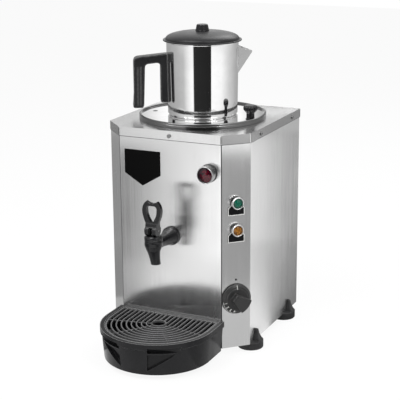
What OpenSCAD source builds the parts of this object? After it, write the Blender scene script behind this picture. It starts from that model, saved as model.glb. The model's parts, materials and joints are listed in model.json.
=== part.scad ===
// Countertop hot water urn: bent sheet casing on rubber feet, round tank hung in its cover, lever tap over
// a hook-on drip tray, corner thermostat and lamps, and a teapot kept warm on the dished lid.
// Drawing frame: millimetres, z = 0 at the casing's lower edge, x = y = 0 at its middle, front towards -y.
// place() moves each piece to the stored frame: origin on the floor under the middle of the whole urn.

/* [Casing] */
// Width of the casing
casing_w = 300; // [290:1:330]
// Depth of the casing
casing_d = 302; // [290:1:330]
// Height of the casing, from its lower edge to the top of the cover
casing_h = 425; // [410:1:460]
// Length cut off the front and the side at each front corner
corner_cut = 42; // [38:1:48]
// Thickness of the panels and the cover
sheet = 1; // [0.8:0.1:1.4]
// Width of the flanges in front of the back panel
flange_w = 14; // [12:0.5:18]
// Width of the flanges behind the front panel
front_flange = 9; // [6:0.5:9.5]
// Height of the skirt round the cover
skirt_h = 17.6; // [15:0.2:24]
// Gap between the skirt and the panels
skirt_gap = 0.3; // [0.2:0.05:0.5]
// Thickness of the base plate
base_t = 1.5; // [1.2:0.1:2.5]
// Width of the air slots in the back panel
vent_w = 4; // [3:0.5:6]
// Length of the air slots in the back panel
vent_l = 60; // [40:1:90]

/* [Feet] */
// Height of the feet under the casing
foot_h = 15; // [10:1:25]
// Radius of a foot
foot_r = 25.5; // [22:0.5:30]
// Distance of a foot's centre from the outside of the side panel
foot_inset = 10; // [8:0.5:14]
// Distance of the front feet's centres from the front panel
foot_front = 70; // [60:1:90]
// Distance of the rear feet's centres from the back panel
foot_rear = 54; // [45:1:70]
// Height of the lug that grips the side panel
lug_h = 25; // [20:1:32]
// Half the width of the lug near its top
lug_half = 3.4; // [2.5:0.1:5]
// How much the lug flares out at its root, on each side
lug_flare = 9; // [6:0.5:12]

/* [Screws] */
// Radius of a screw head
head_r = 4; // [3.5:0.1:4.5]
// Height of a screw head
head_h = 2.2; // [1.8:0.1:3]
// Radius of a screw's shank
shank_r = 1.9; // [1.5:0.1:2.2]
// Gap round each screw
screw_gap = 0.1; // [0.05:0.05:0.3]
// Length of the sheet screws
screw_l = 8; // [6:0.5:12]

/* [Tank] */
// Outside radius of the tank
tank_r = 119; // [112:0.5:120]
// Wall thickness of the tank
tank_t = 1; // [0.8:0.1:1.5]
// Height of the tank's bottom above the casing's lower edge
tank_z = 190; // [180:1:200]
// Radius of the bend between the tank's wall and bottom
tank_bend = 10; // [6:0.5:14]
// Width of the tank's flange
tank_flange = 6; // [5:0.5:6.5]
// Thickness of the seal ring under the flange
seal_t = 1; // [0.5:0.1:2]
// Radius of the heating ring
ring_r = 80; // [60:1:90]
// Radius of the heating ring's tube
tube_r = 4.2; // [3:0.1:5]
// Height of the heating ring above the tank's bottom
ring_up = 15; // [12:0.5:20]
// Width of the bracket under the tank
bracket_w = 40; // [30:1:50]
// Distance between the legs of the bracket
bracket_span = 180; // [150:1:200]
// Thickness of the bracket
bracket_t = 2; // [1.5:0.1:3]

/* [Lamps] */
// Distance of the red lamp from the front panel's right edge
red_in = 26; // [24:1:38]
// Distance of the red lamp below the top of the casing
red_down = 74.4; // [56:0.2:95]
// Radius of the red lamp's bezel
red_r = 16.5; // [14:0.1:18]
// Length of the red lamp's ring
red_ring_h = 15; // [8:0.5:18]
// Radius of the red lamp's barrel
red_barrel_r = 12; // [10:0.1:13]
// Height of the green lamp
green_z = 293.8; // [285:0.2:310]
// Height of the amber lamp
amber_z = 240.2; // [225:0.2:245]
// Radius of the corner lamps' bezels
bezel_r = 12; // [10.5:0.1:13]
// Radius of the corner lamps' barrels
barrel_r = 8; // [6.5:0.1:9]
// Width of the legend plates
legend_w = 34; // [30:0.5:38]
// Height of the legend plates below the middle of their lamps
legend_drop = 25.5; // [22:0.5:28]
// Height of the legend plates' straight sides
legend_side = 14.5; // [11:0.5:16]
// Height of the legend plates' tabs above the middle of their lamps
legend_rise = 6; // [4:0.5:7]
// Thickness of the legend plates and the badge
plate_t = 1; // [0.6:0.1:1.6]
// Width of the badge
badge_w = 77; // [60:1:90]
// Height of the badge's straight sides
badge_side = 47; // [35:1:60]
// Full height of the badge
badge_h = 70; // [55:1:85]
// Distance of the badge's middle from the front panel's left edge
badge_in = 49.5; // [46:0.5:60]
// Distance of the badge's top edge below the top of the casing
badge_down = 43; // [30:1:55]

/* [Thermostat] */
// Height of the knob's middle
knob_z = 100.6; // [90:0.2:110]
// Radius of the knob
knob_r = 30; // [26:0.5:33]
// Gap between the knob and the panel
knob_gap = 1.5; // [1:0.1:3]
// Height of the numbered skirt of the knob
knob_skirt = 6; // [4:0.5:9]
// Full height of the knob
knob_h = 19; // [16.5:0.5:24]
// Width of the knob's grip at its narrow end
grip_w = 14; // [11:0.5:17]
// Radius of the thermostat's shaft
shaft_r = 3; // [2.5:0.1:4]
// Running gap round the shaft
shaft_gap = 0.06; // [0.02:0.01:0.1]
// Width and height of the thermostat's box
stat_w = 36; // [30:0.5:42]
// Depth of the thermostat's box
stat_d = 24; // [18:0.5:30]

/* [Tap] */
// Distance of the tap from the middle of the front
tap_x = 1.5; // [-10:0.5:10]
// Distance of the tap's upright axis from the front panel
tap_reach = 75; // [65:0.5:85]
// Height of the tap's shank
shank_z = 218; // [214:0.5:224]
// Radius of the tap's flange at the panel
tap_flange_r = 18.5; // [16:0.5:22]
// Radius of the tap's threaded shank
tap_shank_r = 8; // [7:0.1:9]
// Radius of the water passage
bore_r = 5.5; // [4:0.1:5.8]
// Outside radius of the tap's valve housing
housing_r = 16.5; // [15.5:0.1:18]
// Radius of the valve chamber
chamber_r = 11; // [10:0.1:11.5]
// Outside radius of the spout's end
spout_r = 9.5; // [8:0.1:11]
// Length of the spout below the shank's axis
spout_drop = 37; // [30:0.5:45]
// How far the spout's end lies back towards the panel
spout_back = 8; // [4:0.5:10]
// Radius of the bonnet
bonnet_r = 17.3; // [16.5:0.1:19]
// Height of the bonnet's top above the shank's axis
bonnet_top = 22; // [21:0.5:26]
// Radius of the stem
stem_r = 3; // [2.5:0.1:3.5]
// Lift of the stem for each radian of the lever
lever_cam = 5; // [4:0.1:5.2]
// Height of the lever's pin above the bonnet
pin_up = 10; // [9:0.5:12]
// Radius of the lever's pin
pin_r = 1.5; // [1.2:0.1:2]
// Half the width of the lever's fork
fork_half = 11.8; // [10:0.1:13]
// Half the width of the lever's loop
loop_half = 19.5; // [16:0.5:24]
// Width of the loop's limbs
loop_limb = 9; // [7:0.5:11]
// Height of the lever's loop
loop_h = 46; // [40:0.5:55]
// Thickness of the lever's loop from front to back
loop_t = 9; // [7:0.5:12]

/* [Drip tray] */
// Radius of the tray's round front
tray_r = 113.5; // [100:0.5:120]
// Distance of the round front's middle from the front panel
tray_mid = 56.5; // [45:0.5:65]
// Height of the tray's rim above the casing's lower edge
tray_rim = 57.5; // [50:0.5:70]
// Height of the tray's bottom above the casing's lower edge
tray_low = -5; // [-10:0.5:0]
// Thickness of the tray's wall
tray_t = 2.5; // [2:0.1:3.5]
// Height of the rim's collar
collar_h = 14; // [10:0.5:18]
// Step from the rim's collar in to the wall
collar_step = 3; // [2:0.1:3.5]
// How much the wall leans in between collar and bottom
wall_lean = 4; // [2:0.5:6]
// Width of the rim's flat band
band_w = 9; // [7:0.5:11]
// Width of the rim's band along the panel
back_band = 6; // [5:0.5:9]
// Gap between the tray and the front panel
tray_gap = 0.3; // [0.2:0.05:0.6]
// Gap round the drip grid
grid_gap = 0.4; // [0.3:0.05:0.8]
// Height of the drip grid
grid_h = 4; // [3:0.5:5]
// Width of the grid's ribs
rib_w = 2.6; // [2:0.1:4]
// Distance from rib to rib
rib_pitch = 9.7; // [8:0.1:12]
// Outside radius of the ring round the grid's finger hole
hub_r = 15.5; // [13:0.5:18]
// Distance of each hook from the middle of the tray
hook_x = 60; // [40:1:75]
// Width of a hook
hook_w = 16; // [10:0.5:24]

/* [Lid] */
// How far the lid's rim lies outside the tank's mouth
lid_lap = 8; // [7:0.1:11]
// Height of the lid's rolled rim above the cover
lid_rim = 10; // [8:0.5:14]
// Height of the lid's floor above the cover
lid_floor = 6; // [5:0.2:7]
// Thickness of the lid's sheet
lid_t = 1; // [0.8:0.1:1.2]
// Distance of the lid's knob from the lid's edge
lid_knob_in = 17.5; // [16:0.5:26]
// Distance of the lid's knob and vent in front of the middle
lid_knob_y = 15; // [0:1:20]
// Radius of the lid knob's head
lid_knob_r = 14; // [12:0.5:16]
// Height of the lid's knob
lid_knob_h = 28; // [22:0.5:34]
// Radius of the lid knob's stem
lid_stem_r = 8; // [6:0.5:9]
// Distance of the steam vent from the lid's edge
vent_in = 28; // [22:1:36]
// Radius of the steam vent
vent_r = 5; // [3:0.5:7]

/* [Teapot] */
// Outside radius of the teapot at its base
pot_r = 69.5; // [60:0.5:75]
// Outside radius of the teapot at its mouth
pot_mouth_r = 71.5; // [66:0.5:76]
// Height of the teapot without its lid
pot_h = 146; // [130:1:160]
// Wall thickness of the teapot
pot_t = 1.2; // [1:0.1:2]
// Height of the recessed band at the teapot's foot
pot_foot = 3; // [2:0.5:5]
// Angle of the spout from the right-hand side towards the back
spout_turn = 30; // [0:1:90]
// Distance of the spout's tip from the teapot's axis
spout_tip = 99; // [90:0.5:115]
// Width of the spout at the wall
spout_w = 44; // [30:1:50]
// Height of the spout's root on the wall
spout_root = 63; // [50:1:75]
// Distance of the handle's outer face from the teapot's axis
handle_reach = 137; // [125:0.5:150]
// Thickness of the handle
handle_t = 23; // [18:0.5:27]
// Width of the handle's outer leg
outer_leg = 23; // [15:0.5:24]
// Width of the handle's inner leg
inner_leg = 12.5; // [10:0.5:17]
// Depth of the handle's top bar
handle_bar = 18; // [14:0.5:22]
// Radius of the teapot lid's rim
pot_lid_r = 78; // [74:0.5:82]
// Height of the teapot lid above the teapot
pot_lid_h = 19; // [14:0.5:26]
// Height of the teapot lid's knob
pot_knob_h = 12.5; // [9:0.5:18]
// Radius of the foot of the teapot lid's knob
pot_knob_r = 13.7; // [11:0.1:16]

/* [Supply] */
// Distance of the cable gland from the right edge of the back
gland_in = 50; // [35:1:70]
// Height of the cable gland
gland_z = 40; // [30:1:60]
// Radius of the gland's hole for the cable
gland_bore_r = 4.2; // [3:0.1:5]
// Height of the gland outside the back panel
gland_out = 12; // [8:0.5:16]

/* [Hidden] */
$fn = 96;
steel = "silver";
plastic = "#202124";
half_w = casing_w / 2;
half_d = casing_d / 2;
panel_h = casing_h - sheet;
eps = 1;
lid_r = tank_r + lid_lap;
lid_knob_x = lid_r - lid_knob_in;
vent_x = lid_r - vent_in;
red_x = half_w - corner_cut - red_in;
red_z = casing_h - red_down;
badge_x = badge_in + corner_cut - half_w;
badge_z = casing_h - badge_down;
gland_x = half_w - gland_in;
tray_y = -half_d - tray_mid;
shift_y = (half_d + tray_mid + tray_r - half_d - gland_out) / 2;
tap_y = -half_d - tap_reach;
screw_z = casing_h - 10;
side_screw_y = [-62, 106];
back_screw_x = [-100, 100];
flange_screw_z = [70, 215, 360];
stat_screw = 12;
foot_screw_in = 16;
foot_bore_r = head_r + 1;
foot_bore_h = 8;
tank_seat = casing_h + seal_t;
tank_rim = casing_h + lid_floor - lid_t - 0.3;
socket_r = tap_shank_r + 8;
socket_out = tank_r + 9;
socket_in = tank_r - 4;
leg_angle = 11;
leg_r = tube_r + 0.8;
ring_z = tank_z + ring_up;
leg_z = tank_z - 14;
chamber_z = shank_z - 6;
neck_top = shank_z + bonnet_top - 5.5;
neck_r = chamber_r + 2.4;
shank_end_r = 10.5;
bonnet_z = shank_z + shank_end_r + 0.8;
spring_high = neck_top + 1.5;
pin_z = shank_z + bonnet_top + pin_up;
collar_z = chamber_z + 10;
stem_head = 3;
ledge_r = tray_r - band_w - 3;
grid_bed = tray_rim - grid_h - 0.8;
grid_z = tray_rim - 0.5;
grid_r = tray_r - band_w - grid_gap;
grid_y = -half_d - tray_gap - back_band - grid_gap;
pot_z = casing_h + lid_floor + 0.3;
rivet_r = 2.5;
strainer_r = 2.5;
gland_barrel_r = gland_bore_r + 3;
pot_top = pot_z + pot_h;

// ---------- helpers ----------
module place() translate([0, shift_y, foot_h]) children();
module on_front(x, z) translate([x, -half_d, z]) rotate([90, 0, 0]) children();
module on_back(x, z) translate([x, half_d, z]) rotate([-90, 0, 0]) children();
module on_side(side, y, z) translate([side * half_w, y, z]) rotate([0, side * 90, 0]) children();
module on_corner(z) translate([half_w - corner_cut / 2, corner_cut / 2 - half_d, z])
    rotate([0, 0, 45]) rotate([90, 0, 0]) children();
module on_teapot(angle) rotate([0, 0, angle]) children();

// Ring standing on z = 0
module ring(r_out, r_in, h) difference() {
    cylinder(r = r_out, h = h);
    translate([0, 0, -eps]) cylinder(r = r_in, h = h + 2 * eps);
}

// Hexagon nut standing on z = 0
module nut(r_out, r_in, h) difference() {
    cylinder(r = r_out, h = h, $fn = 6);
    translate([0, 0, -eps]) cylinder(r = r_in, h = h + 2 * eps);
}

// Screw whose head stands on z = 0 and whose shank points down
module screw(length, r = head_r, h = head_h, shank = shank_r) {
    difference() {
        cylinder(r = r, h = h);
        for (turn = [0, 90]) rotate([0, 0, turn])
            translate([-0.6 * r, -0.5, h / 2]) cube([1.2 * r, 1, h]);
    }
    translate([0, 0, -length]) cylinder(r = shank, h = length + h / 4);
}

// Hole through the plane z = 0, and one for a screw's shank
module through_hole(r, depth = 5) translate([0, 0, -depth]) cylinder(r = r, h = 2 * depth);
module screw_hole(depth = 6) through_hole(shank_r + screw_gap, depth);

function arc(cx, cy, r, a0, a1, n = 8) =
    [for (i = [0 : n]) let (a = a0 + (a1 - a0) * i / n) [cx + r * cos(a), cy + r * sin(a)]];

// Round tube along a path: a ring of points at each path point, square to the path there
function unit(v) = v / norm(v);
function heading(p, i) = unit(p[min(i + 1, len(p) - 1)] - p[max(i - 1, 0)]);
function across(d) = unit(cross(d, abs(d[2]) > 0.9 ? [1, 0, 0] : [0, 0, 1]));
module tube(p, r, n = 8)
    skin([for (i = [0 : len(p) - 1]) let (d = heading(p, i), u = across(d), v = cross(d, u))
        for (k = [0 : n - 1]) p[i] + r * (u * cos(360 * k / n) + v * sin(360 * k / n))], n);
// Solid with a closed skin over rings of n points each
module skin(rings, n) {
    last = len(rings) - n;
    polyhedron(points = rings, faces = concat(
        [[for (k = [0 : n - 1]) k]],
        [for (row = [0 : n : last - n], k = [0 : n - 1])
            let (a = row + k, b = row + (k + 1) % n) [a, a + n, b + n]],
        [for (row = [0 : n : last - n], k = [0 : n - 1])
            let (a = row + k, b = row + (k + 1) % n) [a, b + n, b]],
        [[for (k = [n - 1 : -1 : 0]) last + k]]));
}

// ---------- casing ----------
// Line along the cut corners, moved inwards: x - y is the same all along it
function corner_line(inset) = half_w + half_d - corner_cut - inset * sqrt(2);
// Outline of the casing, moved inwards at its sides, front and back
function outline(side, front, back) = let (w = half_w - side, f = half_d - front, b = half_d - back,
    k = corner_line(side)) [[w, b], [w, w - k], [k - f, -f], [f - k, -f], [-w, w - k], [-w, b]];
front_half = corner_line(0) - half_d;

module cover_screw_places() {
    on_front(0, screw_z) children();
    for (side = [-1, 1], y = side_screw_y) on_side(side, y, screw_z) children();
    for (x = back_screw_x) on_back(x, screw_z) children();
}
module flange_screw_places() for (x = [-1, 1], z = flange_screw_z)
    on_back(x * (half_w - flange_w / 2 - sheet / 2), z) children();
module tray_slots() for (side = [-1, 1])
    translate([side * hook_x - hook_w / 2 - 0.5, -half_d - eps, hook_z(half_d) - 6])
        cube([hook_w + 1, sheet + 2 * eps, 9]);

module front_panel() color(steel) difference() {
    translate([0.5 - front_half, -half_d, 0]) cube([2 * front_half - 1, sheet, panel_h]);
    cover_screw_places() screw_hole();
    on_front(red_x, red_z) through_hole(red_barrel_r + screw_gap);
    on_front(tap_x, shank_z) through_hole(tap_shank_r + screw_gap);
    tray_slots();
}

module side_panel() color(steel) difference() {
    k0 = corner_line(0);
    k1 = corner_line(sheet);
    y_out = half_d - sheet;
    y_in = half_d - 2 * sheet;
    linear_extrude(panel_h) polygon([
        [half_w - flange_w, y_out], [half_w, y_out], [half_w, half_w - k0], [front_half, -half_d],
        [front_half, -y_out], [front_half - front_flange, -y_out], [front_half - front_flange, -y_in],
        [k1 - y_in, -y_in], [half_w - sheet, half_w - sheet - k1], [half_w - sheet, y_in],
        [half_w - flange_w, y_in]]);
    cover_screw_places() screw_hole();
    flange_screw_places() screw_hole();
}

module right_side_panel() difference() {
    side_panel();
    for (z = [green_z, amber_z]) on_corner(z) through_hole(barrel_r + screw_gap);
    on_corner(knob_z) through_hole(bush_r + screw_gap);
    for (x = [-1, 1]) on_corner(knob_z) translate([x * stat_screw, 0, 0]) screw_hole();
}

module left_side_panel() mirror([1, 0, 0]) side_panel();

module back_panel() color(steel) difference() {
    translate([-half_w, half_d - sheet, 0]) cube([casing_w, sheet, panel_h]);
    cover_screw_places() screw_hole();
    flange_screw_places() screw_hole();
    on_back(gland_x, gland_z) through_hole(gland_barrel_r + screw_gap);
    for (low = [90, 330], row = [0 : 4])
        translate([-vent_l / 2, half_d - sheet - eps, low + 3 * vent_w * row])
            cube([vent_l, sheet + 2 * eps, vent_w]);
}

module base_plate() color(steel) difference() {
    linear_extrude(flange_w) polygon(outline(sheet, 2 * sheet, 2 * sheet));
    translate([0, 0, base_t]) linear_extrude(flange_w)
        polygon(outline(sheet + base_t, 2 * sheet + base_t, 2 * sheet + base_t));
    foot_places() translate([-foot_screw_in, 0, 0]) screw_hole();
    for (side = [-1, 1]) translate([side * (bracket_span / 2 + 10), 0, 0]) screw_hole();
}

module top_cover() color(steel) difference() {
    out = -skirt_gap - sheet;
    translate([0, 0, casing_h - skirt_h]) linear_extrude(skirt_h) polygon(outline(out, out, out));
    translate([0, 0, casing_h - skirt_h - sheet]) linear_extrude(skirt_h)
        polygon(outline(-skirt_gap, -skirt_gap, -skirt_gap));
    translate([0, 0, casing_h - 5]) cylinder(r = tank_r + 0.5, h = 10);
    cover_screw_places() screw_hole();
    for (side = [-1, 1], p = [[half_w, half_w - corner_line(0)], [half_w, half_d], [front_half, -half_d]])
        translate([side * p[0], p[1], casing_h - skirt_h - eps]) rotate([0, 0, 45])
            translate([-0.6, -0.6, 0]) cylinder(r = 1.5, h = skirt_h - sheet);
}

module cover_screws() color("gray") cover_screw_places()
    translate([0, 0, skirt_gap + sheet]) screw(screw_l);
module back_panel_screws() color("gray") flange_screw_places() screw(screw_l);

// ---------- feet ----------
module foot_places() for (side = [0, 1], y = [foot_front - half_d, half_d - foot_rear])
    mirror([side, 0, 0]) translate([half_w - foot_inset, y, 0]) children();

// Outline of a lug seen from the side: flared at its root, narrow and round at its top
function lug_width(z) = min(lug_half + lug_flare * pow(1 - z / lug_h, 2.2),
    lug_flare * sqrt(max(0.001, 1 - z / lug_h)));
module lug_outline() {
    heights = [for (i = [0 : 16]) lug_h * (1 - pow(1 - i / 16, 1.6))];
    polygon(concat([for (z = heights) [lug_width(z), z]],
        [for (i = [len(heights) - 1 : -1 : 0]) [-lug_width(heights[i]), heights[i]]]));
}
module rubber_feet() color(plastic) foot_places() {
    reach = foot_inset + foot_r;
    difference() {
        translate([0, 0, -foot_h]) cylinder(r = foot_r, h = foot_h);
        translate([-foot_screw_in, 0, -foot_h - eps]) cylinder(r = foot_bore_r, h = foot_bore_h + eps);
        translate([-foot_screw_in, 0, 0]) screw_hole(foot_h);
    }
    intersection() {
        translate([0, 0, -foot_h / 2]) cylinder(r = foot_r, h = foot_h / 2 + lug_h + eps);
        translate([foot_inset, 0, 0]) rotate([90, 0, 90]) linear_extrude(reach) lug_outline();
        rotate([90, 0, 0]) translate([0, 0, -foot_r]) linear_extrude(2 * foot_r)
            polygon([[foot_inset, 0], [foot_r, 0], [foot_inset + 10.5, 5], [foot_inset + 7.5, 13],
                [foot_inset + 6, lug_h - 2], [foot_inset + 4, lug_h], [foot_inset, lug_h]]);
    }
}
module foot_screws() color("gray") {
    foot_places() translate([-foot_screw_in, 0, foot_bore_h - foot_h]) mirror([0, 0, 1])
        screw(foot_h - foot_bore_h + base_t + 4);
    for (side = [-1, 1]) translate([side * (bracket_span / 2 + 10), 0, base_t + bracket_t])
        screw(base_t + bracket_t + 2);
}

// ---------- tank and heater ----------
module water_tank() color("lightgray") difference() {
    union() {
        rotate_extrude() polygon(concat(
            [[0, tank_z]], arc(tank_r - tank_bend, tank_z + tank_bend, tank_bend, -90, 0),
            [[tank_r, tank_seat], [tank_r + tank_flange, tank_seat],
                [tank_r + tank_flange, tank_seat + tank_t], [tank_r, tank_seat + tank_t],
                [tank_r, tank_rim], [tank_r - tank_t, tank_rim]],
            arc(tank_r - tank_bend, tank_z + tank_bend, tank_bend - tank_t, 0, -90),
            [[0, tank_z + tank_t]]));
        translate([tap_x, -socket_in, shank_z]) rotate([90, 0, 0])
            cylinder(r = socket_r, h = socket_out - socket_in);
    }
    translate([tap_x, -socket_in + 5, shank_z]) rotate([90, 0, 0])
        cylinder(r = tap_shank_r + screw_gap, h = socket_out - socket_in + 10);
    leg_places() translate([0, 0, tank_z - 5]) cylinder(r = leg_r + screw_gap, h = 10);
}

module tank_seal_ring() color(plastic) translate([0, 0, casing_h])
    ring(tank_r + tank_flange, tank_r + 0.5, seal_t);

module tank_bracket() color(steel) {
    low = base_t;
    top = tank_z;
    half = bracket_span / 2;
    difference() {
        rotate([90, 0, 0]) translate([0, 0, -bracket_w / 2]) linear_extrude(bracket_w) polygon([
            [-half - 20, low], [-half + bracket_t, low], [-half + bracket_t, top - bracket_t],
            [half - bracket_t, top - bracket_t], [half - bracket_t, low], [half + 20, low],
            [half + 20, low + bracket_t], [half, low + bracket_t], [half, top], [-half, top],
            [-half, low + bracket_t], [-half - 20, low + bracket_t]]);
        for (side = [-1, 1]) translate([side * (half + 10), 0, 0]) screw_hole();
    }
}

module leg_places() for (side = [-1, 1])
    translate([side * ring_r * sin(leg_angle), ring_r * cos(leg_angle), 0]) children();

module heating_element() color("dimgray") {
    translate([0, 0, ring_z]) rotate([0, 0, 90 + leg_angle]) rotate_extrude(angle = 360 - 2 * leg_angle)
        translate([ring_r, 0]) circle(r = tube_r);
    leg_places() {
        translate([0, 0, leg_z]) cylinder(r = leg_r, h = ring_z + leg_r - leg_z);
        translate([0, 0, leg_z - 8]) cylinder(r = 1.5, h = 10);
    }
}
module element_washers() color("firebrick") leg_places()
    translate([0, 0, tank_z - 1.5]) ring(leg_r + 4, leg_r + screw_gap, 1.5);
module element_nuts() color("goldenrod") leg_places()
    translate([0, 0, tank_z - 6.5]) nut(leg_r + 4.5, leg_r + screw_gap, 5);
module safety_cutout() color("dimgray") translate([0, 45, tank_z - 9]) {
    cylinder(r = 12, h = 9);
    for (x = [-5, 5]) translate([x - 0.4, -3, -8]) cube([0.8, 6, 9]);
}

// ---------- thermostat ----------
bush_r = shaft_r + 2.2;
shaft_in = 14;
grip_turn = 50;
grip_nose = 12;
module thermostat_body() color("ivory") on_corner(knob_z) difference() {
    union() {
        translate([-stat_w / 2, -stat_w / 2, -sheet - stat_d]) cube([stat_w, stat_w, stat_d]);
        translate([0, 0, -sheet - eps]) cylinder(r = bush_r, h = sheet + eps + 1);
    }
    translate([0, 0, -shaft_in - 1]) cylinder(r = shaft_r + shaft_gap, h = shaft_in + 10);
    for (x = [-1, 1]) translate([x * stat_screw, 0, 0]) screw_hole(10);
}
module thermostat_screws() color("gray") for (x = [-1, 1])
    on_corner(knob_z) translate([x * stat_screw, 0, 0]) screw(screw_l, 3, 0.9);
module thermostat_shaft() color("gray") on_corner(knob_z) difference() {
    translate([0, 0, -shaft_in]) cylinder(r = shaft_r, h = shaft_in + knob_gap + 12);
    translate([-shaft_r, shaft_r - 1, knob_gap + 1]) cube([2 * shaft_r, shaft_r, 30]);
}
module thermostat_knob() color(plastic) on_corner(knob_z) translate([0, 0, knob_gap]) difference() {
    union() {
        cylinder(r = knob_r, h = 2.5);
        translate([0, 0, 2.5]) cylinder(r1 = knob_r, r2 = knob_r - 5, h = knob_skirt - 2.5);
        translate([0, 0, knob_skirt]) cylinder(r = knob_r - 8, h = 1);
        rotate([0, 0, grip_turn]) intersection() {
            linear_extrude(knob_h) polygon([[-grip_w / 2, grip_nose], [grip_w / 2, grip_nose],
                [grip_w / 2 + 10, -knob_r], [-grip_w / 2 - 10, -knob_r]]);
            rotate([90, 0, 90]) translate([0, 0, -knob_r]) linear_extrude(2 * knob_r) polygon([
                [-knob_r, 0], [-knob_r, knob_skirt + 2], [grip_nose - 5, knob_h], [grip_nose, knob_h],
                [grip_nose, 0]]);
            cylinder(r = knob_r - 1, h = knob_h);
        }
    }
    translate([0, 0, -eps]) difference() {
        cylinder(r = shaft_r + shaft_gap, h = 13.5 + eps);
        translate([-shaft_r, shaft_r - 1 + shaft_gap, 1 + eps]) cube([2 * shaft_r, shaft_r, 30]);
    }
}
// Bulb clipped under the tank, with the thin tube that leads to it from the thermostat
bulb_y = -45;
module thermostat_bulb() color("peru") {
    translate([-30, bulb_y, tank_z - 3.2]) rotate([0, 90, 0]) cylinder(r = 3.2, h = 60);
    tube([[29, bulb_y, tank_z - 3.2], [40, bulb_y, tank_z - 4], [54, bulb_y - 4, tank_z - 12],
        [66, bulb_y - 12, tank_z - 30], [76, bulb_y - 22, knob_z + 40], [86, bulb_y - 32, knob_z + 18],
        [94, bulb_y - 38, knob_z + 5], [98, bulb_y - 42, knob_z], stat_back], 1);
}
corner_mid = [half_w - corner_cut / 2, corner_cut / 2 - half_d];
inward = [-sqrt(0.5), sqrt(0.5)];
function corner_point(depth, up, side = 0) =
    let (p = corner_mid + depth * inward + side * [sqrt(0.5), sqrt(0.5)]) [p[0], p[1], up];
stat_back = corner_point(sheet + stat_d, knob_z);

// ---------- supply ----------
poles = 4;
pole_pitch = 11;
block = [poles * pole_pitch, 18, 16];
block_at = [60, 100, base_t];
module terminal_block() color("ivory") translate(block_at) difference() {
    cube(block);
    for (i = [0 : poles - 1]) translate([pole_pitch * (i + 0.5), -eps, block[2] / 2])
        rotate([-90, 0, 0]) cylinder(r = 2, h = block[1] + 2 * eps);
}
// Middle of a pole's end at the terminal block's front (side 0) or back (side 1)
function pole(i, side) = block_at + [pole_pitch * (i + 0.5), side ? block[1] + 0.1 : -0.1, block[2] / 2];
// Wires, each from the piece that it leaves to the piece that it feeds
wire_r = 1.2;
leg_x = ring_r * sin(leg_angle);
leg_y = ring_r * cos(leg_angle);
leg_low = leg_z - 8;
wire_high = tank_z - 40;
stat_in = sheet + stat_d;
stat_top = knob_z + stat_w / 2;
module wiring() color("sienna") {
    tube([[-leg_x, leg_y, leg_low], [-leg_x, leg_y + 4, wire_high], [0, leg_y + 10, wire_high - 60],
        pole(0, 0) + [-25, -8, 30], pole(0, 0) + [-3, -4, 4.5], pole(0, 0)], wire_r);
    tube([[leg_x, leg_y, leg_low], [leg_x, leg_y, wire_high], [30, leg_y - 20, wire_high - 40],
        corner_point(95, knob_z - 5, 15), corner_point(50, knob_z - 4, 10),
        corner_point(stat_in, knob_z - 8, 8)], wire_r);
    tube([pole(3, 0), pole(3, 0) + [1, -10, 4.5], [104, 40, 40], corner_point(48, knob_z - 20, 20),
        corner_point(40, knob_z - 11, -4), corner_point(stat_in, knob_z - 8, -8)], wire_r);
    tube([pole(1, 1), pole(1, 1) + [1.5, 6, 2.5], [gland_x - 12, 128, gland_z - 14],
        [gland_x - 3, 130, gland_z], [gland_x, 136, gland_z]], wire_r);
    tube([corner_point(26, amber_z), corner_point(34, amber_z - 14), corner_point(36, stat_top + 42),
        corner_point(36, stat_top + 8), corner_point(stat_in - 4, stat_top)], wire_r);
    tube([corner_point(26, green_z), corner_point(34, green_z + 10, 14), corner_point(38, amber_z, 16),
        corner_point(36, stat_top + 42, 12), corner_point(stat_in - 8, stat_top, 12)], wire_r);
}
module cable_gland() color(plastic) on_back(gland_x, gland_z) difference() {
    union() {
        cylinder(r = gland_bore_r + 7, h = 4, $fn = 6);
        cylinder(r = gland_bore_r + 4.5, h = gland_out);
        translate([0, 0, -12]) cylinder(r = gland_barrel_r, h = 14);
    }
    translate([0, 0, -15]) cylinder(r = gland_bore_r, h = 40);
}
module gland_nut() color(plastic) on_back(gland_x, gland_z) translate([0, 0, -sheet - 5])
    nut(gland_bore_r + 7, gland_barrel_r + screw_gap, 5);

// ---------- lamps and plates ----------
module red_lamp_gasket() color(plastic) on_front(red_x, red_z) ring(red_r + 1, red_barrel_r + screw_gap, 1.5);
module red_lamp_body() color("dimgray") on_front(red_x, red_z) difference() {
    union() {
        translate([0, 0, 1.5]) cylinder(r = red_r, h = 3);
        translate([0, 0, -28]) cylinder(r = red_barrel_r, h = 30);
    }
    translate([0, 0, -26]) cylinder(r = red_barrel_r - 2, h = 40);
}
module red_lamp_bezel() color(steel) on_front(red_x, red_z) translate([0, 0, 4.5])
    ring(red_r, red_r - 1.5, red_ring_h);
module red_lamp_lens() color("darkred") on_front(red_x, red_z) translate([0, 0, 4.5]) {
    cylinder(r = red_r - 1.6, h = red_ring_h - 1.5);
    translate([0, 0, red_ring_h - 1.5]) cylinder(r1 = red_r - 1.6, r2 = red_r - 7, h = 3);
}
module corner_lamp_body(z) color(plastic) on_corner(z) difference() {
    union() {
        translate([0, 0, plate_t]) cylinder(r = bezel_r - 1.5, h = 5);
        translate([0, 0, -24]) cylinder(r = barrel_r, h = 26);
    }
    translate([0, 0, -22]) cylinder(r = barrel_r - 2, h = 40);
}
module corner_lamp_bezel(z) color(steel) on_corner(z) translate([0, 0, plate_t + 5])
    ring(bezel_r, bezel_r - 3, 6);
module corner_lamp_lens(z, tint) color(tint) on_corner(z) translate([0, 0, plate_t + 5]) {
    cylinder(r = bezel_r - 3.1, h = 2);
    translate([0, 0, 2]) cylinder(r1 = bezel_r - 3.1, r2 = bezel_r - 6, h = 3);
}
module green_lamp_body() corner_lamp_body(green_z);
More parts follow.
